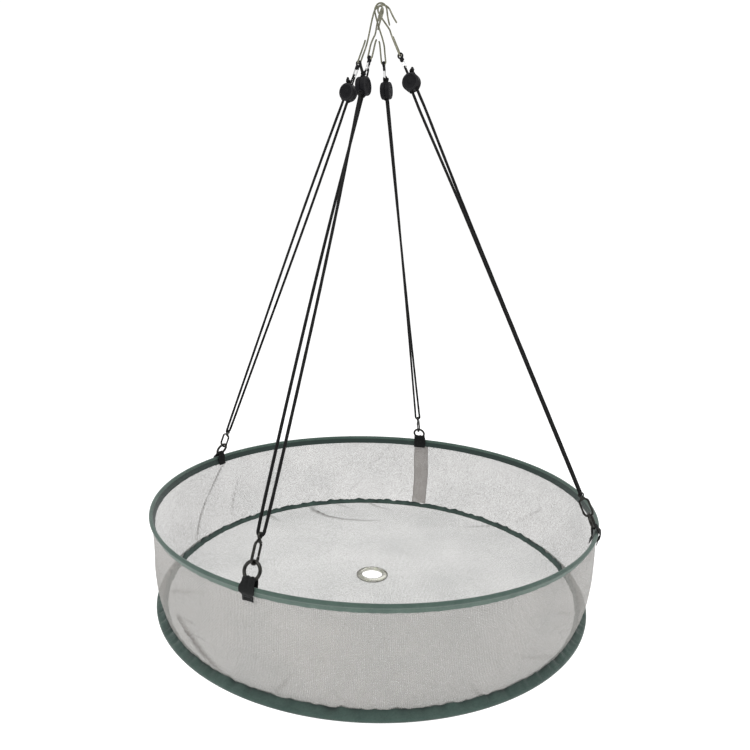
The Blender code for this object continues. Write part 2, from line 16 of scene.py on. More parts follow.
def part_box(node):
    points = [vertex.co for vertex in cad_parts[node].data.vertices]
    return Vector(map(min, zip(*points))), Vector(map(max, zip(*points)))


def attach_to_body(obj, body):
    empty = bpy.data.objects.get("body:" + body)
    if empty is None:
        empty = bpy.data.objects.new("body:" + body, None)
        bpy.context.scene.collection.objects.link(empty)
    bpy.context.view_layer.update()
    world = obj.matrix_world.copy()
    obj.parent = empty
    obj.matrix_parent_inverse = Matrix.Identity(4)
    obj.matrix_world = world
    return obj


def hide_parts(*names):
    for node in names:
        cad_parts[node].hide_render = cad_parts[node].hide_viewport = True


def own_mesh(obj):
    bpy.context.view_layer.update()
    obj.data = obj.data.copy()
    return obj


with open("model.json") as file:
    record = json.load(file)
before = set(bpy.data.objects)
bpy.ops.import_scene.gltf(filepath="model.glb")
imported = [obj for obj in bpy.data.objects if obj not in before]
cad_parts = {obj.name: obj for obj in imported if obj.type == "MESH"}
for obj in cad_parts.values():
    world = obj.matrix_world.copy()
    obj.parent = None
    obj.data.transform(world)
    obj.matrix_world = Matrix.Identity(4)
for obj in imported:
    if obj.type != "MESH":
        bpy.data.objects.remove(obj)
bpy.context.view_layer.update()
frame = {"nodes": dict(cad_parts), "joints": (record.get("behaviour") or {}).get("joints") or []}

MM = 0.001

JOINTS = {j["name"]: j for j in frame["joints"]}

# Tray, as the CAD has it
HOOP_R = 0.3835
BASE_R = 0.3755
PIVOT_RISE = 9 * MM
PIVOT_IN = 4 * MM
WALL_H = 0.160
WALL_R = 0.374  # middle of the wall, for distances along it
UPPER_Z = JOINTS["swing_front"]["pos_m"][2] - PIVOT_RISE
LOWER_Z = UPPER_Z - WALL_H
# How far the upper tape's flaps are turned inwards from straight up, in degrees
UPPER_LEAN = 158.0
CAMERA_Z = -0.4307
FLOOR_Z = LOWER_Z + 1.2 * MM
TRAY_AXIS = Vector(((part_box("upper_binding")[0].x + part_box("upper_binding")[1].x) / 2, 0.0, 0.0))
TO_TRAY = Matrix.Translation(TRAY_AXIS)

# Hanger, distances along the cord from its pivot, or from its eye
SIDES = ("front", "right", "back", "left")
HOOK_ROLL = {"front": 38.3, "right": 45.7, "back": -48.4, "left": 164.3}
SNAP_BASE = 19.9 * MM
CORD_EYE_Z = SNAP_BASE + 36 * MM
LINK_TOP = -6.4 * MM
LINK_END = -21.4 * MM


# ---------------------------------------------------------------- camera


def make_camera():
    yaw, pitch, roll = math.radians(-0.27), math.radians(9.5), math.radians(1.59)
    forward = Vector((math.sin(yaw) * math.cos(pitch), math.cos(yaw) * math.cos(pitch),
                      -math.sin(pitch)))
    right = Vector((math.cos(yaw), -math.sin(yaw), 0.0))
    up = right.cross(forward)
    right_turned = right * math.cos(roll) + up * math.sin(roll)
    up_turned = right_turned.cross(forward)
    data = bpy.data.cameras.new("camera")
    data.lens = 29.4
    data.sensor_width = 36.0
    data.clip_start = 0.01
    data.clip_end = 100.0
    made = bpy.data.objects.new("camera", data)
    bpy.context.scene.collection.objects.link(made)
    turn = Matrix((right_turned, up_turned, -forward)).transposed().to_4x4()
    made.matrix_world = Matrix.Translation((TRAY_AXIS.x, -1.0668, CAMERA_Z)) @ turn
    bpy.context.scene.camera = made


# ---------------------------------------------------------------- node helpers


class Nodes:
    """A short way to write a material's nodes."""

    def __init__(self, name):
        self.material = bpy.data.materials.new(name)
        self.material.use_nodes = True
        self.tree = self.material.node_tree
        self.shader = self.tree.nodes["Principled BSDF"]

    def node(self, kind, **settings):
        made = self.tree.nodes.new(kind)
        for key, value in settings.items():
            setattr(made, key, value)
        return made

    def link(self, source, target):
        self.tree.links.new(source, target)

    def put(self, socket, value):
        if isinstance(value, bpy.types.NodeSocket):
            self.link(value, socket)
        else:
            socket.default_value = value

    def math(self, operation, a, b=0.0, clamp=False):
        made = self.node("ShaderNodeMath", operation=operation, use_clamp=clamp)
        self.put(made.inputs[0], a)
        self.put(made.inputs[1], b)
        return made.outputs[0]

    def uv(self, name="cloth"):
        made = self.node("ShaderNodeUVMap", uv_map=name)
        split = self.node("ShaderNodeSeparateXYZ")
        self.link(made.outputs["UV"], split.inputs[0])
        return split.outputs["X"], split.outputs["Y"]

    def attribute(self, name):
        made = self.node("ShaderNodeAttribute", attribute_name=name)
        return made.outputs["Fac"]

    def noise(self, scale, detail=2.0, rough=0.5, vector=None):
        made = self.node("ShaderNodeTexNoise")
        made.inputs["Scale"].default_value = scale
        made.inputs["Detail"].default_value = detail
        made.inputs["Roughness"].default_value = rough
        if vector is None:
            place = self.node("ShaderNodeTexCoord")
            vector = place.outputs["Object"]
        self.link(vector, made.inputs["Vector"])
        return made.outputs["Fac"]

    def ramp(self, value, stops):
        made = self.node("ShaderNodeValToRGB")
        ramp = made.color_ramp
        while len(ramp.elements) < len(stops):
            ramp.elements.new(0.5)
        for element, (place, colour) in zip(ramp.elements, stops):
            element.position = place
            element.color = (*colour, 1.0) if len(colour) == 3 else colour
        self.put(made.inputs["Fac"], value)
        return made.outputs["Color"]

    def map(self, value, low, high, to_low, to_high):
        made = self.node("ShaderNodeMapRange", clamp=True)
        self.put(made.inputs["Value"], value)
        for key, number in (("From Min", low), ("From Max", high), ("To Min", to_low),
                            ("To Max", to_high)):
            made.inputs[key].default_value = number
        return made.outputs["Result"]

    def mix(self, factor, a, b, blend="MIX"):
        made = self.node("ShaderNodeMix", data_type="RGBA", blend_type=blend)
        self.put(made.inputs["Factor"], factor)
        for socket, value in ((made.inputs[6], a), (made.inputs[7], b)):
            if isinstance(value, bpy.types.NodeSocket):
                self.link(value, socket)
            else:
                socket.default_value = (*value, 1.0)
        return made.outputs[2]

    def bump(self, height, distance, strength=1.0):
        made = self.node("ShaderNodeBump")
        made.inputs["Strength"].default_value = strength
        made.inputs["Distance"].default_value = distance
        self.link(height, made.inputs["Height"])
        self.link(made.outputs["Normal"], self.shader.inputs["Normal"])

    def set(self, **values):
        for key, value in values.items():
            socket = self.shader.inputs[key.replace("_", " ")]
            if isinstance(value, tuple):
                value = (*value, 1.0)
            self.put(socket, value)
        return self


def sine(n, value, pitch, phase=0.0):
    """0 to 1 and back once each pitch of the value."""
    scaled = n.math("MULTIPLY", value, math.tau / pitch)
    moved = n.math("ADD", scaled, phase)
    return n.math("ADD", n.math("MULTIPLY", n.math("SINE", moved), 0.5), 0.5)


# ---------------------------------------------------------------- materials


def tape_material(name, dark, light, edge):
    """Woven polyester binding tape: fine ribs across it, random tone patches, and painted shade that
    the shade attribute mixes in towards the edge colour.
    """
    n = Nodes(name)
    along, across = n.uv()
    rib = sine(n, along, 0.75 * MM)
    warp = sine(n, across, 0.9 * MM)
    weave = n.math("ADD", n.math("MULTIPLY", rib, 0.6), n.math("MULTIPLY", warp, 0.4))
    patch = n.noise(38.0, 4.0, 0.6)
    fine = n.noise(420.0, 2.0, 0.6)
    tone = n.math("ADD", n.math("MULTIPLY", patch, 0.6), n.math("MULTIPLY", fine, 0.4))
    body = n.mix(n.map(tone, 0.34, 0.66, 0.0, 1.0), dark, light)
    shade = n.attribute("shade")
    # Painted shade: the shade attribute darkens the tape towards the edge colour.
    body = n.mix(shade, body, edge)
    body = n.mix(n.map(weave, 0.2, 0.8, 0.22, 0.0), body, (0.02, 0.035, 0.03))
    n.set(Base_Color=body, Roughness=n.map(weave, 0.0, 1.0, 0.86, 0.68))
    n.set(Sheen_Weight=0.25, Sheen_Roughness=0.5, Specular_IOR_Level=0.3)
    n.bump(weave, 0.12 * MM, 0.7)
    return n.material


def net_material(name, thread, cover, pitch, tint, speck=0.11):
    """Fine knitted net: threads on a square grid with open cells between them."""
    n = Nodes(name)
    along, across = n.uv()
    a = sine(n, along, pitch)
    b = sine(n, across, pitch)
    grid = n.math("MAXIMUM", a, b)
    open_low = n.math("MULTIPLY", n.math("SUBTRACT", 1.0, grid), 1.0)
    # Painted shade along creases and folds: this attribute makes the net darker and more opaque
    # there, and in the wall's duller zones.
    crease = n.attribute("crease_shade_and_tint")
    patch = n.noise(9.0, 3.0, 0.55)
    level = n.math("ADD", n.map(grid, 0.45, 0.95, cover - 0.20, cover + 0.17),
                   n.map(patch, 0.3, 0.7, -0.035, 0.035))
    grain = n.noise(330.0, 3.0, 0.75)
    level = n.math("ADD", level, n.map(grain, 0.32, 0.68, -speck, speck))
    level = n.math("ADD", level, n.math("MULTIPLY", crease, 0.45), clamp=True)
    tone = n.mix(n.map(patch, 0.3, 0.7, 0.0, 1.0), thread, tint)
    # Towards the colour of the painted crease shade.
    tone = n.mix(n.math("MULTIPLY", crease, 0.9, clamp=True), tone, (0.055, 0.048, 0.042))
    tone = n.mix(n.map(open_low, 0.0, 0.5, 0.0, 0.25), tone, (0.2, 0.19, 0.18))
    n.set(Base_Color=tone, Alpha=level, Roughness=0.85)
    n.set(Specular_IOR_Level=0.2, Sheen_Weight=0.1)
    n.bump(grid, 0.25 * MM, 0.5)
    return n.material


def webbing_material():
    n = Nodes("webbing_black")
    along, across = n.uv()
    rib = sine(n, along, 1.1 * MM)
    warp = sine(n, across, 0.8 * MM)
    twill = sine(n, n.math("ADD", along, across), 1.4 * MM)
    weave = n.math("ADD", n.math("MULTIPLY", rib, 0.5),
                   n.math("ADD", n.math("MULTIPLY", warp, 0.25),
                          n.math("MULTIPLY", twill, 0.25)))
    fuzz = n.noise(900.0, 2.0, 0.7)
    body = n.mix(n.map(weave, 0.2, 0.8, 0.0, 1.0), (0.004, 0.0045, 0.0045), (0.011, 0.012, 0.012))
    body = n.mix(n.map(fuzz, 0.5, 0.8, 0.0, 0.4), body, (0.024, 0.025, 0.025))
    n.set(Base_Color=body, Roughness=n.map(weave, 0.0, 1.0, 0.92, 0.7))
    n.set(Sheen_Weight=0.05, Sheen_Roughness=0.5, Specular_IOR_Level=0.14)
    n.bump(weave, 0.2 * MM, 0.8)
    return n.material


def cord_material():
    """Braided black cord: two sets of strands that wind opposite ways."""
    n = Nodes("braid_black")
    along, around = n.uv()
    lean = n.math("MULTIPLY", around, 1.0)
    one = sine(n, n.math("ADD", along, lean), 2.2 * MM)
    two = sine(n, n.math("SUBTRACT", along, lean), 2.2 * MM)
    braid = n.math("MAXIMUM", one, two)
    fuzz = n.noise(1200.0, 2.0, 0.7)
    body = n.mix(n.map(braid, 0.4, 1.0, 0.0, 1.0), (0.003, 0.003, 0.003), (0.009, 0.009, 0.009))
    body = n.mix(n.map(fuzz, 0.55, 0.8, 0.0, 0.3), body, (0.022, 0.022, 0.022))
    n.set(Base_Color=body, Roughness=n.map(braid, 0.0, 1.0, 0.9, 0.62))
    n.set(Sheen_Weight=0.03, Sheen_Roughness=0.4, Specular_IOR_Level=0.14)
    n.bump(braid, 0.25 * MM, 0.9)
    return n.material


def metal_material(name, base, bright, rough, tint=None):
    n = Nodes(name)
    grime = n.noise(140.0, 4.0, 0.6)
    streak = n.noise(1500.0, 2.0, 0.6)
    tone = n.mix(n.map(grime, 0.35, 0.7, 0.0, 1.0), base, bright)
    if tint:
        tone = n.mix(n.map(n.noise(60.0, 2.0), 0.45, 0.7, 0.0, 0.5), tone, tint)
    n.set(Base_Color=tone, Metallic=1.0)
    n.set(Roughness=n.math("ADD", n.map(grime, 0.3, 0.7, rough, rough + 0.14),
                           n.map(streak, 0.3, 0.7, -0.03, 0.05)))
    n.bump(n.math("ADD", grime, n.math("MULTIPLY", streak, 0.3)), 0.05 * MM, 0.35)
    return n.material


def plastic_material(name, dark, light, rough):
    """Moulded plastic with a fine spark-eroded grain and rubbed edges."""
    n = Nodes(name)
    grain = n.noise(2600.0, 2.0, 0.6)
    patch = n.noise(60.0, 3.0, 0.5)
    tone = n.mix(n.map(patch, 0.3, 0.7, 0.0, 1.0), dark, light)
    edge = n.attribute("edge")
    tone = n.mix(n.math("MULTIPLY", edge, 0.5), tone, (0.03, 0.03, 0.032))
    n.set(Base_Color=tone, Roughness=n.map(patch, 0.3, 0.7, rough, rough + 0.1))
    n.set(Specular_IOR_Level=0.12)
    n.bump(grain, 0.03 * MM, 0.5)
    return n.material


def thread_material(name, dark, light):
    n = Nodes(name)
    along, around = n.uv()
    ply = sine(n, n.math("ADD", along, n.math("MULTIPLY", around, 0.8)), 0.5 * MM)
    tone = n.mix(n.map(ply, 0.2, 0.8, 0.0, 1.0), dark, light)
    n.set(Base_Color=tone, Roughness=0.7, Sheen_Weight=0.2)
    n.bump(ply, 0.05 * MM, 0.6)
    return n.material


def floor_material():
    n = Nodes("studio_floor")
    faint = n.noise(3.0, 2.0)
    tone = n.mix(n.map(faint, 0.3, 0.7, 0.0, 1.0), (0.93, 0.93, 0.93), (0.95, 0.95, 0.95))
    n.set(Base_Color=tone, Roughness=0.9, Emission_Color=(1.0, 1.0, 1.0))
    n.set(Emission_Strength=0.3)
    return n.material


def make_materials():
    return {
        # Each tape's third colour is the painted shade that the shade attribute mixes in. The lower
        # tape is the same green tape made darker: painted shade on the lower band.
        "upper_tape": tape_material("tape_green_upper", (0.058, 0.104, 0.084),
                                    (0.105, 0.165, 0.134), (0.020, 0.037, 0.032)),
        "lower_tape": tape_material("tape_green_lower_shaded", (0.030, 0.058, 0.049),
                                    (0.056, 0.096, 0.080), (0.010, 0.019, 0.017)),
        "wall": net_material("net_wall", (0.35, 0.335, 0.315), 0.61, 2.4 * MM,
                             (0.31, 0.305, 0.29), 0.15),
        "floor": net_material("net_floor", (0.34, 0.335, 0.32), 0.68, 2.4 * MM,
                              (0.30, 0.305, 0.29)),
        "seam": net_material("net_seam", (0.29, 0.262, 0.238), 0.64, 2.4 * MM,
                             (0.24, 0.215, 0.195)),
        "webbing": webbing_material(),
        "cord": cord_material(),
        "nickel": metal_material("nickel_bright", (0.34, 0.34, 0.30), (0.50, 0.49, 0.45), 0.2,
                                 (0.32, 0.34, 0.24)),
        "hook": metal_material("nickel_aged", (0.15, 0.15, 0.11), (0.28, 0.27, 0.21), 0.3,
                               (0.13, 0.14, 0.09)),
        "link": metal_material("link_bright", (0.58, 0.58, 0.58), (0.72, 0.72, 0.72), 0.22),
        "gunmetal": metal_material("gunmetal_dark", (0.024, 0.024, 0.022), (0.062, 0.061, 0.056),
                                   0.3),
        "wire": metal_material("spring_steel", (0.4, 0.4, 0.4), (0.55, 0.55, 0.55), 0.3),
        "axle": metal_material("axle_steel", (0.5, 0.5, 0.5), (0.62, 0.62, 0.62), 0.25),
        "plastic": plastic_material("plastic_black", (0.0035, 0.0035, 0.005),
                                    (0.0065, 0.0065, 0.008), 0.5),
        "wheel": plastic_material("plastic_wheel", (0.03, 0.03, 0.032), (0.05, 0.05, 0.05), 0.5),
        "thread_black": thread_material("thread_black", (0.012, 0.012, 0.013),
                                        (0.05, 0.05, 0.055)),
        "stage": floor_material(),
    }


# ---------------------------------------------------------------- mesh helpers


def add_mesh(name, points, faces, material, uvs=None, matrix=None, smooth=True, values=None):
    """A mesh piece. uvs holds one (along, across) in metres for each corner of each face, and
    values holds named numbers for each point."""
    data = bpy.data.meshes.new(name)
    data.from_pydata([tuple(p) for p in points], [], faces)
    if uvs:
        layer = data.uv_layers.new(name="cloth")
        flat = [number for face in uvs for pair in face for number in pair]
        layer.data.foreach_set("uv", flat)
    for key, numbers in (values or {}).items():
        attribute = data.attributes.new(key, "FLOAT", "POINT")
        attribute.data.foreach_set("value", numbers)
    if matrix is not None:
        data.transform(matrix)
    data.materials.append(MATERIALS[material])
    if smooth:
        data.shade_smooth()
    data.validate()
    made = bpy.data.objects.new(name, data)
    bpy.context.scene.collection.objects.link(made)
    return made


def attach(piece, body, slot, *nodes):
    """The body that a piece moves with and the CAD nodes that it stands for, which it hides. slot,
    its finish, is not used.
    """
    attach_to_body(piece, body)
    if nodes:
        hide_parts(*nodes)


def grid_faces(rows, columns, close_rows=False, close_columns=False):
    """Faces of a grid of points, row by row."""
    faces = []
    for i in range(rows if close_rows else rows - 1):
        for j in range(columns if close_columns else columns - 1):
            k, m = (i + 1) % rows, (j + 1) % columns
            faces.append((i * columns + j, i * columns + m, k * columns + m, k * columns + j))
    return faces


def grid_uvs(rows, columns, u, v, close_rows=False, close_columns=False):
    """Corner uvs for grid_faces, from the distance along each row and each column. The lists have
    one number more where the grid closes."""
    uvs = []
    for i in range(rows if close_rows else rows - 1):
        for j in range(columns if close_columns else columns - 1):
            uvs.append([(u[i], v[j]), (u[i], v[j + 1]), (u[i + 1], v[j + 1]), (u[i + 1], v[j])])
    return uvs


def lengths(points, closed=False):
    """Distance along a line of points, from 0."""
    points = list(points) + ([points[0]] if closed else [])
    total, found = 0.0, [0.0]
    for a, b in zip(points, points[1:]):
        total += (Vector(b) - Vector(a)).length
        found.append(total)
    return found


def tube(name, line, radius, material, sides=12, closed=False, matrix=None, shape=None,
         round_ends=True):
    """A round wire or cord along a line. radius is a number, or one for each point. shape takes
    (distance along, angle) and gives a factor on the radius."""
    line = [Vector(p) for p in line]
    count = len(line)
    radii = list(radius) if hasattr(radius, "__len__") else [radius] * count
    if round_ends and not closed:
        line, radii = with_round_ends(line, radii)
        count = len(line)
    along = lengths(line, closed)
    tangents = []
    for i in range(count):
        before = line[i - 1] if (i or closed) else line[0]
        after = line[(i + 1) % count] if (i < count - 1 or closed) else line[-1]
        tangents.append((after - before).normalized())
    side = tangents[0].orthogonal().normalized()
    frames = []
    for tangent in tangents:
        side = (side - tangent * side.dot(tangent)).normalized()
        frames.append((side.copy(), tangent.cross(side)))
    if closed:
        twist = closing_twist(frames, tangents)
        frames = [turned_frame(f, t, twist * i / count)
                  for i, (f, t) in enumerate(zip(frames, tangents))]
    points = []
    for i, (a, b) in enumerate(frames):
        for j in range(sides):
            angle = math.tau * j / sides
            r = radii[i] * (shape(along[i], angle) if shape else 1.0)
            points.append(line[i] + a * (r * math.cos(angle)) + b * (r * math.sin(angle)))
    faces = grid_faces(count, sides, closed, True)
    middle = max(radii)
    around = [math.tau * middle * j / sides for j in range(sides + 1)]
    uvs = grid_uvs(count, sides, along, around, closed, True)
    if not closed:
        for start in (0, (count - 1) * sides):
            corner = [start + j for j in range(sides)]
            if start == 0:
                corner = corner[::-1]
            faces.append(tuple(corner))
            uvs.append([(along[0 if start == 0 else -1], 0.0)] * sides)
    faces = [tuple(reversed(f)) for f in faces]
    uvs = [list(reversed(u)) for u in uvs]
    return add_mesh(name, points, faces, material, uvs, matrix)


def with_round_ends(line, radii):
    """Adds a small dome at both ends of an open tube."""
    def dome(end, inward, radius):
        out = []
        for angle in (80, 60, 35, 12):
            a = math.radians(angle)
            out.append((end - inward * (radius * math.sin(a)) + inward * radius,
                        radius * math.cos(a)))
        return out
    first = dome(line[0], (line[1] - line[0]).normalized(), radii[0])
    last = dome(line[-1], (line[-2] - line[-1]).normalized(), radii[-1])
    inner, inner_radii = list(line), list(radii)
    while len(inner) > 3 and (inner[0] - line[0]).length < radii[0]:
        inner.pop(0)
        inner_radii.pop(0)
    while len(inner) > 3 and (inner[-1] - line[-1]).length < radii[-1]:
        inner.pop()
        inner_radii.pop()
    made = [p for p, _ in first] + inner + [p for p, _ in reversed(last)]
    sizes = [r for _, r in first] + inner_radii + [r for _, r in reversed(last)]
    return made, sizes


def closing_twist(frames, tangents):
    """How far a closed tube's frame has turned when it comes back to the start."""
    side, first = frames[-1][0], frames[0][0]
    side = (side - tangents[0] * side.dot(tangents[0])).normalized()
    angle = side.angle(first, 0.0)
    return angle if side.cross(first).dot(tangents[0]) > 0 else -angle


def turned_frame(pair, tangent, angle):
    turn = Matrix.Rotation(angle, 3, tangent)
    return turn @ pair[0], turn @ pair[1]


def lathe(name, profile, material, steps=96, matrix=None, closed=False, values=None):
    """Turns a line of (radius, height) about local Z. A closed profile makes a solid ring."""
    points, numbers = [], {key: [] for key in (values or {})}
    for i in range(steps):
        angle = math.tau * i / steps
        for j, (r, z) in enumerate(profile):
            points.append((r * math.cos(angle), r * math.sin(angle), z))
            for key, given in (values or {}).items():
                numbers[key].append(given[j])
    faces = grid_faces(steps, len(profile), True, closed)
    across = lengths([(r, 0.0, z) for r, z in profile], closed)
    middle = max(r for r, _ in profile)
    along = [math.tau * middle * i / steps for i in range(steps + 1)]
    uvs = grid_uvs(steps, len(profile), along, across, True, closed)
    made = add_mesh(name, points, faces, material, uvs, matrix, values=numbers)
    tidy(made)
    return made


def tidy(made, distance=0.00001):
    """Welds points that lie on each other and turns the faces outwards."""
    shape = bmesh.new()
    shape.from_mesh(made.data)
    bmesh.ops.remove_doubles(shape, verts=shape.verts, dist=distance)
    bmesh.ops.recalc_face_normals(shape, faces=shape.faces)
    shape.to_mesh(made.data)
    shape.free()


def plate(name, outlines, thickness, bevel, material, matrix, steps=3):
    """A flat cast or moulded piece in local X and Z with rounded edges, from closed outlines: the
    first is its edge and the rest are holes. The outlines are at the full width."""
    data = bpy.data.curves.new(name, "CURVE")
    data.dimensions = "2D"
    data.fill_mode = "BOTH"
    data.extrude = thickness / 2 - bevel
    data.bevel_depth = bevel
    data.bevel_resolution = steps
    data.offset = -bevel
    for outline in outlines:
        spline = data.splines.new("POLY")
        spline.points.add(len(outline) - 1)
        spline.use_cyclic_u = True
        for target, point in zip(spline.points, outline):
            target.co = (*point, 0.0, 1.0)
    curve = bpy.data.objects.new(name + "_curve", data)
    bpy.context.scene.collection.objects.link(curve)
    bpy.context.view_layer.update()
    graph = bpy.context.evaluated_depsgraph_get()
    mesh = bpy.data.meshes.new_from_object(curve.evaluated_get(graph))
    bpy.data.objects.remove(curve)
    bpy.data.curves.remove(data)
    mesh.name = name
    mesh.transform(matrix @ Matrix.Rotation(math.pi / 2, 4, "X"))
    mesh.materials.clear()
    mesh.materials.append(MATERIALS[material])
    made = bpy.data.objects.new(name, mesh)
    bpy.context.scene.collection.objects.link(made)
    tidy(made)
    smooth_by_angle(made, 40)
    return made


def smooth_by_angle(made, degrees):
    made.data.shade_smooth()
    shape = bmesh.new()
    shape.from_mesh(made.data)
    for edge in shape.edges:
        if len(edge.link_faces) == 2 and edge.calc_face_angle(0.0) > math.radians(degrees):
            edge.smooth = False
    shape.to_mesh(made.data)
    shape.free()


def in_mm(points):
    return [(x * MM, z * MM) for x, z in points]


def arc(centre, radius, start, end, steps):
    """Points on a circle, from one angle to another in degrees, both ends kept."""
    points = []
    for i in range(steps + 1):
        angle = math.radians(start + (end - start) * i / steps)
        points.append((centre[0] + radius * math.cos(angle), centre[1] + radius * math.sin(angle)))
    return points


def smooth_line(points, spacing):
    """Points about one spacing apart on a smooth curve through the given ones."""
    points = [Vector(p) for p in points]
    ends = [2 * points[0] - points[1]] + points + [2 * points[-1] - points[-2]]
    made = []
    for before, start, end, after in zip(ends, ends[1:], ends[2:], ends[3:]):
        steps = max(1, round((end - start).length / spacing))
        for i in range(steps):
            made.append(between(before, start, end, after, i / steps))
    made.append(points[-1])
    return made


def between(before, start, end, after, t):
    span = (end - start).length
    leave = (end - before) / max((end - before).length, 1e-9) * span
    arrive = (after - start) / max((after - start).length, 1e-9) * span
    return ((2 * t**3 - 3 * t**2 + 1) * start + (t**3 - 2 * t**2 + t) * leave
            + (3 * t**2 - 2 * t**3) * end + (t**3 - t**2) * arrive)


def even_line(points, spacing):
    """The same line with its points one even spacing apart."""
    along = lengths(points)
    count = max(2, round(along[-1] / spacing) + 1)
    made, k = [], 0
    for i in range(count):
        want = along[-1] * i / (count - 1)
        while k < len(along) - 2 and along[k + 1] < want:
            k += 1
        step = max(along[k + 1] - along[k], 1e-12)
        share = min(1.0, max(0.0, (want - along[k]) / step))
        made.append(Vector(points[k]).lerp(Vector(points[k + 1]), share))
    return made


class Hanger:
    """A hanger's local frame and heights, from its joints, and its tab's frame on the hoop."""

    def __init__(self, side):
        self.side = side
        pivot = Vector(JOINTS[f"swing_{side}"]["pos_m"])
        y = Vector(JOINTS[f"swing_{side}"]["axis"]).normalized()
        z = -Vector(JOINTS[f"adjust_{side}"]["axis"]).normalized()
        x = y.cross(z).normalized()
        y = z.cross(x)
        self.up = z
        self.place = Matrix((x, y, z)).transposed().to_4x4()
        self.place.translation = pivot
        self.drum_z = (Vector(JOINTS[f"wheel_{side}"]["pos_m"]) - pivot).dot(z)
        self.eye_z = (Vector(JOINTS[f"hook_{side}"]["pos_m"]) - pivot).dot(z)
        out = pivot - TRAY_AXIS
        out = Vector((out.x, out.y, 0.0)).normalized()
        upward = Vector((0, 0, 1))
        self.tab = Matrix((out, upward.cross(out), upward)).transposed().to_4x4()
        self.tab.translation = pivot - upward * PIVOT_RISE + out * PIVOT_IN

    def at(self, x, y, z):
        return self.place @ Vector((x, y, z))

    def moved(self, x, y, z):
        return self.place @ Matrix.Translation((x, y, z))


# ---------------------------------------------------------------- cords

# The long cord's route in millimetres from the drum's centre, out, along the hoop, up
WHEEL_ROUTE = [(6.8, 0.0, 5.0), (6.7, 0.0, 0.0), (6.5, 0.0, -5.0), (5.2, 0.0, -10.0)]
ANCHOR_ROUTE = [(-5.2, 0.0, -10.0), (-6.5, 0.0, -5.0), (-6.7, 0.0, 0.0), (-6.8, 0.0, 3.0)]
SPREAD = [(0.0, 4.8), (0.02, 5.2), (0.06, 5.6), (0.15, 6.0), (0.3, 6.2), (0.5, 6.2), (0.7, 5.8),
          (0.85, 5.2), (0.95, 4.7), (1.0, 4.4)]
CORD = 2.25 * MM
LOOP_CORD = 1.5 * MM


# How late each pair of strands makes its quarter turn of twist, as a power of the share
TWIST = {"front": 3.0, "right": 7.0, "back": 0.4, "left": 2.0}


def strand(side, sign, drum_z):
    """One strand from the eye up to the adjuster, with a quarter turn of twist on the way."""
    low, high = CORD_EYE_Z + 5.5 * MM, drum_z - 15.0 * MM
    points = []
    for share, spread in SPREAD:
        twist = math.radians(90 * (1 - share**TWIST[side]))
        points.append((sign * spread * math.cos(twist) * MM, sign * spread * math.sin(twist) * MM,
                       low + (high - low) * share))
    return points


def long_cord_route(side, drum_z):
    wheel = [(x * MM, y * MM, drum_z + z * MM) for x, y, z in WHEEL_ROUTE]
    anchor = [(x * MM, y * MM, drum_z + z * MM) for x, y, z in ANCHOR_ROUTE]
    turn = [(0.0, y * MM, CORD_EYE_Z + 4.8 * MM - z * MM)
            for y, z in arc((0, 0), 4.8, 18, 162, 6)]
    return wheel + strand(side, 1, drum_z)[::-1] + turn + strand(side, -1, drum_z) + anchor


def braid(along, angle):
    """Sixteen strands that cross, as small ridges on the cord."""
    lay = along * math.tau / (9.0 * MM)
    ridge = abs(math.sin(4 * angle + 4 * lay)) * abs(math.sin(4 * angle - 4 * lay))
    return 0.97 + 0.06 * ridge


def make_long_cord(hanger):
    side = hanger.side
    line = even_line(smooth_line(long_cord_route(side, hanger.drum_z), 1.5 * MM), 1.1 * MM)
    line = line[::-1]
    made = tube(f"cord_braid_{side}", line, CORD, "cord", 16, matrix=hanger.place, shape=braid,
                round_ends=False)
    path = [hanger.place @ p for p in line[::6]] + [hanger.place @ line[-1]]
    attach(made, f"hanger_{side}", "cord", f"cord_{side}")
    tail = make_tail(hanger)
    hanger.at(-4.8 * MM, 0.0, hanger.drum_z - 12.5 * MM)
    round(lengths(path)[-1], 3)
    hanger.at(0, 0, CORD_EYE_Z)
    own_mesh(made)


def make_tail(hanger):
    """The cord's free end above the adjuster, melted at its tip, and its stopper knot."""
    side = hanger.side
    if side == "front":
        route = [(6.9, 0, 6), (7.2, 0, 11), (7.9, -0.6, 15), (9.6, -2.2, 20), (13.2, -4.2, 26),
                 (16.4, -5.6, 31.5)]
    else:
        route = [(6.9, 0, 6), (7.2, 0, 11), (7.8, 0.2, 14), (9.2, 0.8, 18.5), (10.6, 1.6, 22)]
    line = [(x * MM, y * MM, hanger.drum_z + z * MM) for x, y, z in route]
    line = even_line(smooth_line(line, 1.0 * MM), 0.9 * MM)
    tail = tube(f"cord_tail_{side}", line, CORD, "cord", 16, matrix=hanger.place, shape=braid)
    centre = Vector((7.9 * MM, 0.0, hanger.drum_z + 16.4 * MM))
    knot_line = []
    for i in range(60):
        t = math.tau * i / 60
        around = 2.35 + 0.8 * math.cos(3 * t)
        knot_line.append(centre + Vector((around * math.cos(2 * t), around * math.sin(2 * t),
                                          1.5 * math.sin(3 * t))) * MM)
    knot = tube(f"cord_knot_{side}", knot_line, 1.5 * MM, "cord", 10, closed=True,
                matrix=hanger.place)
    for piece in (tail, knot):
        attach(piece, f"adjuster_{side}", "cord")
    return [tail, knot]


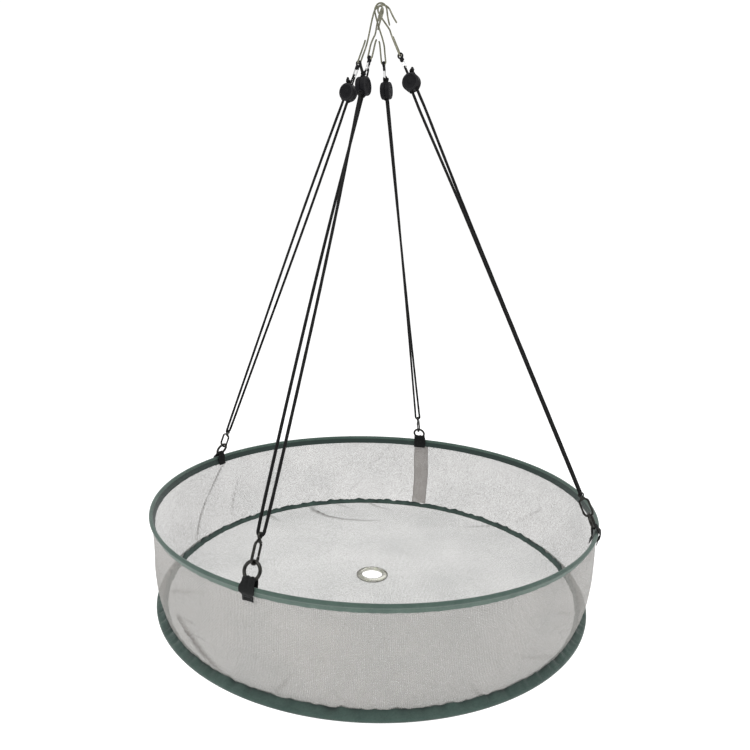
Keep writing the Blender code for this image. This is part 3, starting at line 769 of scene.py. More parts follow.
def make_loop_cord(hanger):
    side = hanger.side
    low = hanger.drum_z + 7.0 * MM
    bend = 0.8 * MM + LOOP_CORD + 0.15 * MM
    top = hanger.eye_z + LINK_END + bend
    up = [(0.0, bend, low), (0.0, bend * 1.15, low + 5 * MM)]
    turn = [(0.0, y, z + top - bend) for y, z in arc((0, 0), bend, 0, 180, 10)]
    down = [(0.0, -bend * 1.15, low + 5 * MM), (0.0, -bend, low)]
    line = even_line(smooth_line(up + turn + down, 0.6 * MM), 0.5 * MM)
    made = tube(f"loop_braid_{side}", line, LOOP_CORD, "cord", 14, matrix=hanger.place,
                shape=braid, round_ends=False)
    path = [hanger.place @ p for p in line[::3]] + [hanger.place @ line[-1]]
    attach(made, f"adjuster_{side}", "cord", f"loop_cord_{side}")
    hanger.at(0.0, bend, hanger.drum_z + 13 * MM)
    round(lengths(path)[-1], 4)


# ---------------------------------------------------------------- tray


def ripple(angle, seed, lengths_mm, radius):
    """A smooth closed wave round the hoop, about -1 to 1, from a few wavelengths."""
    draw = random.Random(seed)
    total = 0.0
    for size in lengths_mm:
        count = max(1, round(math.tau * radius / (size * MM)))
        total += math.sin(count * angle + draw.uniform(0, math.tau)) * draw.uniform(0.6, 1.0)
    return total / len(lengths_mm)


def leaned(x, z, degrees):
    """A point of a section turned about the wire's centre, from up towards the tray's inside."""
    turn = math.radians(degrees)
    return x * math.cos(turn) - z * math.sin(turn), x * math.sin(turn) + z * math.cos(turn)


# The lower tape wraps the wire, the wall's hem and the floor's hem: a flange that leans outwards.
# (out, up, painted shade) from the wire's centre, out and up in millimetres, from the wall round the
# wire
# The painted shade is darkest where the wall comes in and underneath, and dark along the inner
# strip.
FLANGE = [(-8.6, 8.9, 1.0), (-7.9, 8.8, 1.0), (-7.0, 8.1, 0.9), (-5.6, 7.0, 0.6), (-4.2, 5.9, 0.35),
          (-2.6, 4.8, 0.2), (-0.9, 4.1, 0.1), (0.8, 3.7, 0.0), (2.3, 3.0, 0.0), (3.4, 1.8, 0.0),
          (3.9, 0.2, 0.1), (3.7, -1.4, 0.3), (2.9, -2.6, 0.7), (1.5, -3.3, 1.0), (-0.5, -3.4, 1.0),
          (-3.5, -3.2, 0.9), (-7.5, -2.4, 0.8), (-11.0, -1.0, 0.7), (-13.4, 0.2, 0.7),
          (-14.6, 1.0, 0.6), (-14.9, 1.7, 0.5), (-14.4, 2.3, 0.5), (-13.2, 3.3, 0.4),
          (-11.9, 4.7, 0.4), (-10.7, 6.2, 0.5), (-9.8, 7.6, 0.7), (-9.2, 8.5, 0.9)]


def make_flange():
    """The lower tape as one padded flange, with scallops along the edge where the wall comes in."""
    steps, count = 720, len(FLANGE)
    points, painted_shades = [], []
    for i in range(steps):
        angle = math.tau * i / steps
        wave = ripple(angle, 21, (62, 36, 24), BASE_R)
        small = ripple(angle, 22, (21, 14, 9.5), BASE_R)
        patch = ripple(angle, 23, (110, 47, 30), BASE_R)
        for x, z, dark in FLANGE:
            high = min(1.0, max(0.0, (z - 2.0) / 6.0))
            inner = min(1.0, max(0.0, (-x - 9.0) / 5.0)) * (1 - 0.5 * high)
            lift = high * (2.9 * wave + 1.3 * small)
            shift = high * 0.5 * small + inner * (1.1 * wave + 0.6 * small)
            face = max(0.0, 1 - abs(x + 2.0) / 6.0) * (z > 0)
            r = BASE_R + (x + shift + 0.25 * small * face) * MM
            points.append((r * math.cos(angle), r * math.sin(angle),
                           LOWER_Z + (z + lift + 0.3 * small * face) * MM))
            # Painted shade from the section's third number, varied in patches round the hoop.
            painted_shades.append(min(1.0, max(0.0, dark * (0.75 + 0.5 * patch) + 0.12 * patch)))
    faces = grid_faces(steps, count, True, True)
    across = lengths([(x * MM, 0.0, z * MM) for x, z, _ in FLANGE], True)
    along = [math.tau * BASE_R * i / steps for i in range(steps + 1)]
    uvs = grid_uvs(steps, count, along, across, True, True)
    made = add_mesh("tape_lower", points, faces, "lower_tape", uvs, TO_TRAY,
                    values={"shade": painted_shades})
    tidy(made, 0.0000001)
    attach(made, "lower_ring", "tape", "lower_binding")


def tape_section(outer, inner):
    """Half section lines of the folded tape about the wire: (radial, height, flap share), from the
    outer flap's free edge round the wire to the inner flap's free edge."""
    wire_r = 3.05 * MM
    flat = 1.35 * MM
    line = []
    for i in range(9):
        share = 1 - i / 8
        z = 2.4 * MM + (outer - 2.4 * MM) * share
        line.append((flat + 0.25 * MM * (1 - share), z, share))
    for angle in (35, 15, 0, -20, -40, -60, -80, -100, -120, -140, -160, -180, -195, -215):
        a = math.radians(angle)
        line.append((wire_r * math.cos(a), wire_r * math.sin(a), 0.0))
    for i in range(9):
        share = i / 8
        z = 2.4 * MM + (inner - 2.4 * MM) * share
        line.append((-flat - 0.25 * MM * (1 - share), z, -share))
    return [(r, -z, s) for r, z, s in line]


def make_upper_tape():
    """Binding tape folded over the hoop's wire, with puckers that grow towards its free edges."""
    radius, height, pucker, steps = HOOP_R, UPPER_Z, 0.5 * MM, 720
    section = tape_section(11.5 * MM, 13.5 * MM)
    rows = []
    thick = 0.5 * MM
    painted_shades = []
    for i in range(steps):
        angle = math.tau * i / steps
        wave = ripple(angle, 11, (34, 21, 13.5), radius)
        second = ripple(angle, 12, (30, 18, 11), radius)
        rise = ripple(angle, 13, (90, 41, 23), radius)
        half = []
        for r, z, share in section:
            amount = abs(share)**1.3
            shift = pucker * amount * (wave if share > 0 else second)
            lift = -pucker * 0.45 * amount * rise
            half.append(leaned(r + shift, z + lift, UPPER_LEAN - 180))
        offset = []
        count = len(half)
        for k in range(count):
            a, b = Vector(half[max(0, k - 1)]), Vector(half[min(count - 1, k + 1)])
            t = (b - a).normalized()
            normal = Vector((-t.y, t.x))
            offset.append(Vector(half[k]) + normal * thick)
        ring = [Vector(p) for p in half] + offset[::-1]
        for p in ring:
            rows.append(((radius + p.x) * math.cos(angle), (radius + p.x) * math.sin(angle),
                         height + p.y))
        # Painted shade: the inner flap is dark all over, and the top of the wire and the flaps' free
        # edges are darker.
        painted_section_shade = []
        for r, z, share in section:
            top = 1.0 if share == 0.0 and -z < 0.5 * MM else 0.0
            painted_section_shade.append(0.35 * top + 0.3 * max(0.0, abs(share) - 0.9) * 10
                              + (1.0 if share < 0 else 0.0))
        painted_section_shade = [min(1.0, value) for value in painted_section_shade]
        painted_shades += painted_section_shade + painted_section_shade[::-1]
    columns = 2 * len(section)
    faces = grid_faces(steps, columns, True, True)
    across = lengths([(r, 0.0, z) for r, z, _ in section])
    loop = across + [across[-1] + thick]
    loop = loop + [loop[-1] + (across[-1] - a) for a in across[::-1][1:]] + [0.0]
    loop = loop[:columns + 1]
    while len(loop) < columns + 1:
        loop.append(loop[-1] + thick)
    along = [math.tau * radius * i / steps for i in range(steps + 1)]
    uvs = grid_uvs(steps, columns, along, loop, True, True)
    made = add_mesh("tape_upper", rows, faces, "upper_tape", uvs, TO_TRAY,
                    values={"shade": painted_shades})
    tidy(made, 0.0000001)
    attach(made, "upper_ring", "tape", "upper_binding")


# Creases of the wall: (azimuth, share of the height) at both ends, width and depth in mm
WALL_CREASES = [
    ((224.0, 0.42), (239.0, 0.01), 5.0, 5.0),
    ((227.5, 0.24), (235.5, 0.03), 3.5, 2.4),
    ((231.0, 0.46), (224.0, 0.42), 3.0, 1.2),
    ((234.0, 0.36), (226.0, 0.30), 3.0, 1.0),
    ((148.5, 0.95), (157.0, 0.52), 3.4, 3.0),
    ((157.0, 0.52), (164.5, 0.05), 3.4, 3.0),
    ((143.0, 0.62), (147.0, 0.12), 3.0, 1.2),
    ((262, 0.22), (268, 0.02), 2.5, 1.0),
    ((262, 0.12), (254, 0.03), 2.0, 0.8),
    ((300, 0.40), (318, 0.05), 4.0, 0.9),
    ((24, 0.5), (34, 0.1), 4.0, 0.8),
    ((84, 0.95), (92, 0.55), 3.0, 0.8),
    ((96, 0.3), (101, 0.05), 3.0, 0.6),
]

# Where the wall is duller all over: azimuth, spread in degrees and how much
WALL_TINTS = [(206, 11, 0.40), (166, 20, 0.12), (2, 34, 0.09)]


def line_distance(point, start, end):
    """Distance from a line's stretch, and the share along it."""
    d = (end[0] - start[0], end[1] - start[1])
    size = d[0]**2 + d[1]**2
    share = ((point[0] - start[0]) * d[0] + (point[1] - start[1]) * d[1]) / size
    share = min(1.0, max(0.0, share))
    near = (start[0] + d[0] * share, start[1] + d[1] * share)
    side = (point[0] - start[0]) * d[1] - (point[1] - start[1]) * d[0]
    return math.hypot(point[0] - near[0], point[1] - near[1]), share, math.copysign(1, side)


def wall_offset(degrees, share):
    """How far the wall stands out from its straight line, and how much painted crease shade and
    duller tint it gets there.
    """
    height = WALL_H
    out = -3.2 * MM * math.sin(math.pi * share)**0.8
    slow = noise.noise(Vector((math.cos(math.radians(degrees)) * 1.7,
                               math.sin(math.radians(degrees)) * 1.7, share * 0.9)))
    out += 4.0 * MM * slow * math.sin(math.pi * share)
    low = noise.noise(Vector((math.cos(math.radians(degrees)) * 9.0,
                              math.sin(math.radians(degrees)) * 9.0, share * 1.1 + 5)))
    out += 1.6 * MM * low * math.sin(math.pi * share) * (1.2 - share)
    dark = 0.0
    for (a0, s0), (a1, s1), width, depth in WALL_CREASES:
        start = (math.radians(a0) * WALL_R, s0 * height)
        end = (math.radians(a1) * WALL_R, s1 * height)
        away, at, side = line_distance((math.radians(degrees) * WALL_R, share * height), start, end)
        if away > 5 * width * MM:
            continue
        fade = math.sin(math.pi * min(1.0, 0.12 + at * 0.88))**0.5 if at < 1 else 0.3
        ridge = math.exp(-(away / (width * MM))**2)
        step = math.exp(-(away / (2.4 * width * MM))**2) * side * 0.35
        out += depth * MM * fade * (ridge + step) * 0.8
        # Painted shade along the crease.
        dark += fade * math.exp(-(away / (width * 0.62 * MM))**2) * min(0.85, 0.3 * depth)
    for centre, spread, amount in WALL_TINTS:
        away = (degrees - centre + 180) % 360 - 180
        dark += amount * math.exp(-(away / spread)**2) * (1.15 - share)
    return out, min(1.0, dark)


def wall_point(degrees, share, inward=0.0):
    """A point on the wall. share is 0 at the lower tape and 1 at the upper one."""
    low, high = LOWER_Z + 6.2 * MM, UPPER_Z - 7.5 * MM
    z = low + (high - low) * share
    rise = min(1.0, share / 0.5)
    rise = 1 - (1 - rise)**2
    radius = BASE_R - 8.7 * MM + (HOOP_R - 1.0 * MM - BASE_R + 8.7 * MM) * rise
    radius -= 3.0 * MM * max(0.0, (share - 0.86) / 0.14)
    offset, dark = wall_offset(degrees, share)
    away = (degrees + 180) % 360 - 180
    offset += 8.0 * MM * math.exp(-((away + 4) / 38)**2) * math.sin(math.pi * share)**0.9
    hold = min(1.0, min(z - low + 0.5 * MM, high - z + 2 * MM) / (13 * MM))
    radius += offset * max(0.0, hold)**1.3 - inward
    a = math.radians(degrees)
    return Vector((radius * math.cos(a), radius * math.sin(a), z)), dark


def make_wall():
    steps, rows = 540, 40
    points, creases = [], []
    for i in range(steps):
        for j in range(rows + 1):
            point, dark = wall_point(360 * i / steps, j / rows)
            points.append(point)
            creases.append(dark)
    faces = grid_faces(steps, rows + 1, True, False)
    along = [math.tau * WALL_R * i / steps for i in range(steps + 1)]
    across = [WALL_H * j / rows for j in range(rows + 1)]
    uvs = grid_uvs(steps, rows + 1, along, across, True, False)
    made = add_mesh("wall_net", points, faces, "wall", uvs, TO_TRAY, values={"crease_shade_and_tint": creases})
    attach(made, "upper_ring", "mesh", "side_mesh")
    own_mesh(made)


SEAM_AZIMUTH = 73.0


def make_seam():
    """The wall's sewn lap: a second layer of net and a hem line."""
    rows, columns = 40, 12
    width = 33 * MM
    points, creases = [], []
    for i in range(rows + 1):
        share = 0.02 + 0.96 * i / rows
        for j in range(columns + 1):
            across = j / columns - 0.5
            lean = 2.0 * MM * (share - 0.5)
            wobble = 0.7 * MM * math.sin(share * 9.0 + j * 0.1)
            degrees = SEAM_AZIMUTH + math.degrees((across * width + lean + wobble) / WALL_R)
            point, _ = wall_point(degrees, share, 0.9 * MM + 0.3 * MM * math.sin(9 * share + j))
            points.append(point)
            creases.append(0.55 if j in (0, columns) else 0.08)
    faces = grid_faces(rows + 1, columns + 1)
    along = [0.148 * i / rows for i in range(rows + 1)]
    side = [width * j / columns for j in range(columns + 1)]
    uvs = grid_uvs(rows + 1, columns + 1, along, side)
    made = add_mesh("wall_seam", points, faces, "seam", uvs, TO_TRAY, values={"crease_shade_and_tint": creases})
    attach(made, "upper_ring", "mesh")
    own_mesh(made)


# Folds of the floor as lines of (x, y) in shares of the hoop's radius, width and depth in mm
FLOOR_FOLDS = [
    (((-0.41, 0.90), (-0.37, 0.80), (-0.29, 0.72), (-0.19, 0.68), (-0.05, 0.67), (0.06, 0.68)),
     6.0, 4.2),
    (((-0.28, 0.96), (-0.21, 0.90), (-0.13, 0.85)), 5.0, 2.6),
    (((-0.04, 0.97), (0.02, 0.90), (0.12, 0.845)), 5.0, 2.6),
    (((0.74, 0.65), (0.62, 0.635), (0.51, 0.63)), 6.0, 2.2),
    (((-0.66, 0.74), (-0.60, 0.66), (-0.52, 0.60)), 6.0, 1.8),
    (((-0.97, -0.2), (-0.86, -0.22), (-0.76, -0.21)), 7.0, 2.0),
    (((0.93, -0.30), (0.84, -0.30), (0.74, -0.26)), 7.0, 1.8),
    (((-0.35, -0.92), (-0.31, -0.83), (-0.26, -0.76)), 6.0, 1.8),
    (((0.42, -0.88), (0.37, -0.80), (0.31, -0.73)), 6.0, 1.6),
]


def floor_height(x, y):
    """The floor's rise at a point, and the painted shade of its fold there."""
    r = math.hypot(x, y)
    share = r / BASE_R
    angle = math.atan2(y, x)
    edge = max(0.0, (share - 0.62) / 0.38)
    pucker = ripple(angle, 31, (46, 31, 19), BASE_R) * 1.5 * MM * edge**2.2
    slow = 2.6 * MM * noise.noise(Vector((x * 7.5, y * 7.5, 3.1)))
    hold = min(1.0, max(0.0, (r - 31 * MM) / (40 * MM)))
    hold *= min(1.0, max(0.0, (BASE_R - 12 * MM - r) / (8 * MM)))
    rise, dark = pucker + slow - 1.2 * MM, 0.0
    for line, width, depth in FLOOR_FOLDS:
        best = None
        for k, (start, end) in enumerate(zip(line, line[1:])):
            p0 = (start[0] * BASE_R, start[1] * BASE_R)
            p1 = (end[0] * BASE_R, end[1] * BASE_R)
            away, at, side = line_distance((x, y), p0, p1)
            if best is None or away < best[0]:
                best = (away, (k + at) / (len(line) - 1), side)
        away, at, side = best
        if away > 4 * width * MM:
            continue
        fade = (1 - at)**0.7
        rise += depth * MM * fade * math.exp(-(away / (width * MM))**2)
        rise -= depth * 0.4 * MM * fade * math.exp(-((away - width * 1.2 * MM)
                                                     / (width * MM))**2)
        # Painted shade along the fold.
        dark += 0.3 * depth * fade * math.exp(-(away / (width * 0.5 * MM))**2)
    return rise * hold, min(1.0, dark) * hold


def make_floor_net():
    steps, rings = 300, 90
    inner, outer = 20.4 * MM, BASE_R - 12.0 * MM
    points, creases, flat = [], [], []
    for i in range(steps):
        angle = math.tau * i / steps
        for j in range(rings + 1):
            r = inner + (outer - inner) * (j / rings)**0.8
            x, y = r * math.cos(angle), r * math.sin(angle)
            rise, dark = floor_height(x, y)
            points.append((x, y, FLOOR_Z + rise))
            creases.append(dark)
            flat.append((x, y))
    faces = grid_faces(steps, rings + 1, True, False)
    uvs = [[flat[k] for k in face] for face in faces]
    made = add_mesh("floor_net", points, faces, "floor", uvs, TO_TRAY,
                    values={"crease_shade_and_tint": creases})
    attach(made, "lower_ring", "mesh", "floor_mesh")


def make_grommet():
    top = FLOOR_Z + 0.7 * MM
    under = FLOOR_Z - 0.7 * MM
    face = [(19.0, 1.0), (19.15, 1.6), (19.7, 2.05), (20.8, 2.3), (22.2, 2.35), (23.8, 2.2),
            (25.4, 1.85), (26.9, 1.35), (28.0, 0.85), (28.7, 0.45), (29.0, 0.18), (28.85, 0.0),
            (20.0, 0.0)]
    line = [(r * MM, top + z * MM) for r, z in face]
    foot = under - 1.0 * MM
    line += [(20.0 * MM, foot + 0.3 * MM), (20.6 * MM, foot - 0.1 * MM),
             (20.2 * MM, foot - 0.45 * MM), (19.3 * MM, foot - 0.25 * MM),
             (19.0 * MM, foot + 0.5 * MM)]
    made = lathe("grommet_ring", line, "nickel", 128, TO_TRAY, closed=True)
    attach(made, "lower_ring", "nickel", "grommet_face")
    wash = [(20.3, 0.0), (28.7, 0.0), (29.0, -0.2), (28.9, -0.5), (28.0, -0.8), (26.0, -1.0),
            (22.0, -1.0), (20.6, -0.9)]
    line = [(r * MM, under + z * MM) for r, z in wash]
    made = lathe("grommet_back", line, "nickel", 128, TO_TRAY, closed=True)
    attach(made, "lower_ring", "nickel", "grommet_washer")


# ---------------------------------------------------------------- hanger hardware


# Width of each tab at its lower end, over the hoop and at its neck, in millimetres
TAB_WIDTHS = {"front": (17.0, 23.5, 19.5), "right": (20.0, 22.0, 18.0), "back": (26.5, 27.0, 24.0),
              "left": (17.0, 18.0, 15.0)}


TAB_LEAN = -9.0  # how far the tab's outer end turns inwards below the hoop


def tab_line():
    """The webbing's route from its outer end, over the O-ring and down inside, as (out, up)."""
    flat, proud = 3.8 * MM, 5.5 * MM
    down = UPPER_LEAN - 180
    outer = [leaned(flat + 0.1 * MM, -h * MM, TAB_LEAN) for h in (16.0, 12.5, 9.0)]
    inner = [leaned(-flat, -h * MM, down) for h in (9.0, 12.5, 17.0)]
    fold = arc((-PIVOT_IN, PIVOT_RISE), 4.3 * MM, 0, 180, 10)
    return (outer + [(proud, -3.5 * MM), (proud, 0.5 * MM), (4.2 * MM, 4.5 * MM)] + fold
            + [(-7.2 * MM, 3.0 * MM), (-6.6 * MM, -3.0 * MM)] + inner)


def make_tab(hanger):
    """Black webbing folded over the O-ring and sewn through the binding. Its neck bunches, and the
    layer behind is a little askew."""
    side, tab = hanger.side, hanger.tab
    line = even_line(smooth_line([(x, 0.0, z) for x, z in tab_line()], 0.7 * MM), 0.7 * MM)
    along = lengths(line)
    total = along[-1]
    columns = 17
    points = []
    draw = random.Random(side)
    phase = draw.uniform(0, math.tau)
    for i, p in enumerate(line):
        share = along[i] / total
        height = p.z
        neck = min(1.0, max(0.0, (height - 2 * MM) / (7 * MM)))
        neck = neck * neck * (3 - 2 * neck)
        front = i < len(line) / 2
        end, waist, top = (size * MM for size in TAB_WIDTHS[side])
        low = min(1.0, max(0.0, (height + 6.5 * MM) / (3 * MM)))
        width = end + (waist - end) * low
        width = width + (top - width) * neck
        skew = (0.8 if front else -1.6) * MM * (1 - neck)
        ahead = line[min(i + 1, len(line) - 1)]
        behind = line[max(i - 1, 0)]
        t = (ahead - behind).normalized()
        normal = Vector((t.z, 0.0, -t.x))
        if normal.dot(Vector((p.x + PIVOT_IN * neck, 0.0, p.z - PIVOT_RISE * neck))) < 0:
            normal = -normal
        for j in range(columns):
            u = j / (columns - 1) * 2 - 1
            fold = math.sin(u * 8.5 + phase + share * 2.0) * 0.55 * MM * neck
            cup = -0.5 * MM * u * u * neck
            wavy = 0.18 * MM * math.sin(u * 3.0 + share * 21 + phase) * (1 - neck)
            q = p + normal * (fold + cup + wavy)
            points.append((q.x, u * width / 2 + skew, q.z))
    rows = len(line)
    faces = grid_faces(rows, columns)
    across = [j / (columns - 1) * 22 * MM for j in range(columns)]
    uvs = grid_uvs(rows, columns, along, across)
    made = add_mesh(f"webbing_{side}", points, faces, "webbing", uvs, matrix=tab)
    thicken(made, 1.25 * MM)
    attach(made, "upper_ring", "webbing", f"webbing_tab_{side}")
    stitch = box_stitches(side, tab)
    attach(stitch, "upper_ring", "webbing")


def thicken(made, thickness):
    """Gives a flat cloth its thickness, with rounded edges."""
    mod = made.modifiers.new("thick", "SOLIDIFY")
    mod.thickness = thickness
    mod.offset = 0
    bevel = made.modifiers.new("round", "BEVEL")
    bevel.width = thickness * 0.3
    bevel.segments = 2
    bevel.limit_method = "ANGLE"
    bevel.angle_limit = math.radians(60)
    apply_modifiers(made)
    smooth_by_angle(made, 50)


def apply_modifiers(made):
    bpy.context.view_layer.update()
    graph = bpy.context.evaluated_depsgraph_get()
    data = bpy.data.meshes.new_from_object(made.evaluated_get(graph))
    data.name = made.data.name
    made.modifiers.clear()
    made.data = data


def box_stitches(side, tab):
    """A sewn rectangle on the outer face of the webbing below the hoop."""
    rows = []
    for z in (-15.0, -9.6):
        rows.append([(y, z) for y in (-6.4, 6.4)])
    for y in (-6.4, 6.4):
        rows.append([(y, z) for z in (-15.0, -9.6)])
    points, faces, uvs = [], [], []
    for start, end in rows:
        size = math.hypot(end[0] - start[0], end[1] - start[1])
        count = max(2, round(size / 2.2))
        for i in range(count):
            a, b = (i + 0.12) / count, (i + 0.88) / count
            add_stitch(points, faces, uvs, start, end, a, b)
    made = add_mesh(f"webbing_stitches_{side}", points, faces, "thread_black", uvs, matrix=tab)
    tidy(made, 0.0000001)
    return made


def add_stitch(points, faces, uvs, start, end, a, b):
    base = len(points)
    direction = Vector((0.0, end[0] - start[0], end[1] - start[1])).normalized()
    side = Vector((1, 0, 0)).cross(direction)
    for k in range(5):
        share = k / 4
        at = a + (b - a) * share
        y = start[0] + (end[0] - start[0]) * at
        z = start[1] + (end[1] - start[1]) * at
        lift = math.sin(math.pi * share)
        out, up = leaned(3.9 + 0.62 + 0.22 * lift - 0.1, z, TAB_LEAN)
        for j in range(6):
            angle = math.tau * j / 6
            size = 0.3 * (0.5 + 0.5 * lift)
            q = Vector((out, y + 0.8, up)) + Vector((1, 0, 0)) * size * math.cos(angle)
            q += side * size * math.sin(angle)
            points.append(q * MM)
    for k in range(4):
        for j in range(6):
            m = (j + 1) % 6
            faces.append((base + k * 6 + j, base + k * 6 + m, base + (k + 1) * 6 + m,
                          base + (k + 1) * 6 + j))
            uvs.append([(k * 0.5 * MM, j * 0.3 * MM), (k * 0.5 * MM, (j + 1) * 0.3 * MM),
                        ((k + 1) * 0.5 * MM, (j + 1) * 0.3 * MM),
                        ((k + 1) * 0.5 * MM, j * 0.3 * MM)])
    faces.append(tuple(base + j for j in range(6)))
    faces.append(tuple(base + 24 + j for j in range(6)))
    uvs += [[(0.0, 0.0)] * 6, [(0.0, 0.0)] * 6]


def make_o_ring(hanger):
    side = hanger.side
    line = [(0.0, y, z) for y, z in arc((0.0, 11.75 * MM), 11.75 * MM, 0, 360, 72)[:-1]]
    made = tube(f"ring_{side}", line, 2.35 * MM, "gunmetal", 16, closed=True,
                matrix=hanger.place)
    attach(made, f"hanger_{side}", "gunmetal", f"o_ring_{side}")


def make_snap(hanger):
    side = hanger.side
    bow = arc((0, 7.0), 8.8, 180, 360, 30)
    shoulder = arc((2.0, 23.0), 6.8, 0, 62, 12)
    eye = arc((0, 36.0), 4.8, -60, 240, 28)
    lug = arc((-6.9, 24.6), 1.9, 112, 15, 6)
    inner_shoulder = arc((0.6, 23.0), 4.8, 75, 0, 12)
    inner_bow = arc((0, 7.0), 5.4, 0, -180, 26)
    nose = [(-5.4, 9.2), (-8.8, 9.2)]
    edge = bow + shoulder + eye + lug + inner_shoulder + inner_bow + nose
    hole = arc((0, 36.0), 3.0, 0, 360, 28)[:-1]
    outlines = [in_mm(edge), in_mm(hole)]
    place = hanger.moved(0, 0, SNAP_BASE)
    made = plate(f"snap_body_{side}", outlines, 3.4 * MM, 1.05 * MM, "gunmetal", place)
    attach(made, f"hanger_{side}", "gunmetal", f"snap_hook_{side}")
    top = arc((0, 0), 1.6, 180, 0, 12)
    outline = top + [(1.2, -15.1), (-1.6, -15.1)]
    hinge = hanger.moved(-6.9 * MM, 0, SNAP_BASE + 24.6 * MM)
    gate = plate(f"gate_bar_{side}", [in_mm(outline)], 2.6 * MM,
                 0.6 * MM, "gunmetal", hinge)
    attach(gate, f"gate_{side}", "gunmetal", f"snap_gate_{side}")
    rivet_line = [(0, -1.0), (0.55, -1.0), (0.85, -0.9), (0.95, -0.7), (0.95, 0.7),
                  (0.85, 0.9), (0.55, 1.0), (0, 1.0)]
    profile = [(r * MM, z * 2.05 * MM) for r, z in rivet_line]
    turn = hinge @ Matrix.Rotation(math.pi / 2, 4, "X")
    rivet = lathe(f"snap_rivet_{side}", profile, "gunmetal", 20, turn)
    attach(rivet, f"hanger_{side}", "gunmetal")


def drum_half(name, place, node, body):
    """One half of the adjuster's drum: a turned cup with a rounded rim, a shallow dished face with
    a raised centre, and a thin shadow gap on the seam."""
    outer = [(0.0, 8.0), (2.6, 8.0), (3.3, 7.9), (3.7, 7.62), (4.3, 7.55), (9.6, 7.55),
             (10.3, 7.75), (10.8, 8.25), (11.4, 8.5), (12.2, 8.42), (13.0, 8.05), (13.6, 7.4),
             (13.92, 6.6), (14.0, 5.6), (14.0, 1.0), (13.93, 0.55), (13.7, 0.3), (13.3, 0.2)]
    inside = [(12.3, 0.2), (12.3, 6.8), (3.4, 6.8), (3.4, 3.8), (1.8, 3.8), (1.8, 6.8), (0, 6.8)]
    profile = in_mm(outer + inside)
    edge = [0.8 if 7 <= k <= 11 else 0.0 for k in range(len(profile))]
    made = lathe(name, profile, "plastic", 72, place, values={"edge": edge})
    tidy(made)
    smooth_by_angle(made, 38)
    attach(made, body, "black_plastic", node)


def make_adjuster(hanger):
    side = hanger.side
    centre = hanger.moved(0, 0, hanger.drum_z)
    for name, angle, node in ((f"drum_cover_{side}", -90, f"adjuster_cover_{side}"),
                              (f"drum_case_{side}", 90, f"adjuster_case_{side}")):
        place = centre @ Matrix.Rotation(math.radians(angle), 4, "X")
        drum_half(name, place, node, f"adjuster_{side}")
    make_lips(hanger)


def make_lips(hanger):
    """Raised lips moulded round the cord holes: two below, three above."""
    spots = [("low_out", 4.8, 0.0, -13.3, 2.55, -1, 9), ("low_in", -4.8, 0.0, -13.3, 2.55, -1, -9),
             ("tail", 7.35, 0.0, 12.2, 2.6, 1, 12), ("loop_a", 0.0, 2.5, 13.6, 1.9, 1, 0),
             ("loop_b", 0.0, -2.5, 13.6, 1.9, 1, 0)]
    for name, x, y, z, radius, way, lean in spots:
        shape = [(radius - 0.35, -1.2), (radius - 0.35, 0.5), (radius - 0.15, 0.85),
                 (radius + 0.35, 1.0), (radius + 0.9, 0.7), (radius + 1.35, 0.0),
                 (radius + 1.6, -1.2)]
        profile = [(r * MM, h * way * MM) for r, h in shape]
        place = hanger.moved(x * MM, y * MM, hanger.drum_z + z * MM)
        place = place @ Matrix.Rotation(math.radians(lean), 4, "Y")
        made = lathe(f"drum_lip_{name}_{hanger.side}", profile, "plastic", 28, place, closed=True,
                     values={"edge": [0, 0, 0.4, 0.6, 0.3, 0, 0]})
        attach(made, f"adjuster_{hanger.side}", "black_plastic")


def make_eye_link(hanger):
    side = hanger.side
    place = hanger.moved(0, 0, hanger.eye_z)
    edge = arc((0, 0), 5.0, -50, 230, 36) + [(-3.6, -8.6), (-3.0, -10.4), (3.0, -10.4),
                                             (3.6, -8.6)]
    hole = arc((0, 0), 2.4, 0, 360, 28)[:-1]
    outlines = [in_mm(edge), in_mm(hole)]
    made = plate(f"eye_black_{side}", outlines, 3.4 * MM, 0.9 * MM, "plastic", place)
    attach(made, f"adjuster_{side}", "black_plastic", f"eye_{side}")
    low = hanger.eye_z + LINK_END
    bend = [(x, 0.0, low + 2.6 * MM + z) for x, z in arc((0, 0), 2.6 * MM, 0, -180, 18)]
    high = hanger.eye_z + LINK_TOP
    line = [(2.6 * MM, 0.0, high)] + bend + [(-2.6 * MM, 0.0, high)]
    line = even_line(line, 0.5 * MM)
    link = ribbon(f"link_bar_{side}", line, 1.3 * MM, 3.2 * MM, "link", hanger.place)
    attach(link, f"adjuster_{side}", "nickel", f"link_{side}")


def ribbon(name, line, thick, wide, material, matrix):
    """A flat bar bent along a line in local X and Z, with round edges."""
    section = []
    for k in range(16):
        a = math.tau * k / 16
        section.append((math.copysign(abs(math.cos(a))**0.45, math.cos(a)) * thick / 2,
                        math.copysign(abs(math.sin(a))**0.45, math.sin(a)) * wide / 2))
    points = []
    for i, p in enumerate(line):
        ahead, behind = line[min(i + 1, len(line) - 1)], line[max(i - 1, 0)]
        t = (Vector(ahead) - Vector(behind)).normalized()
        normal = Vector((t.z, 0.0, -t.x))
        for a, b in section:
            points.append(Vector(p) + normal * a + Vector((0, b, 0)))
    faces = grid_faces(len(line), 16, False, True)
    faces.append(tuple(range(16)))
    faces.append(tuple((len(line) - 1) * 16 + k for k in range(16)))
    made = add_mesh(name, points, faces, material, matrix=matrix)
    tidy(made, 0.0000001)
    return made


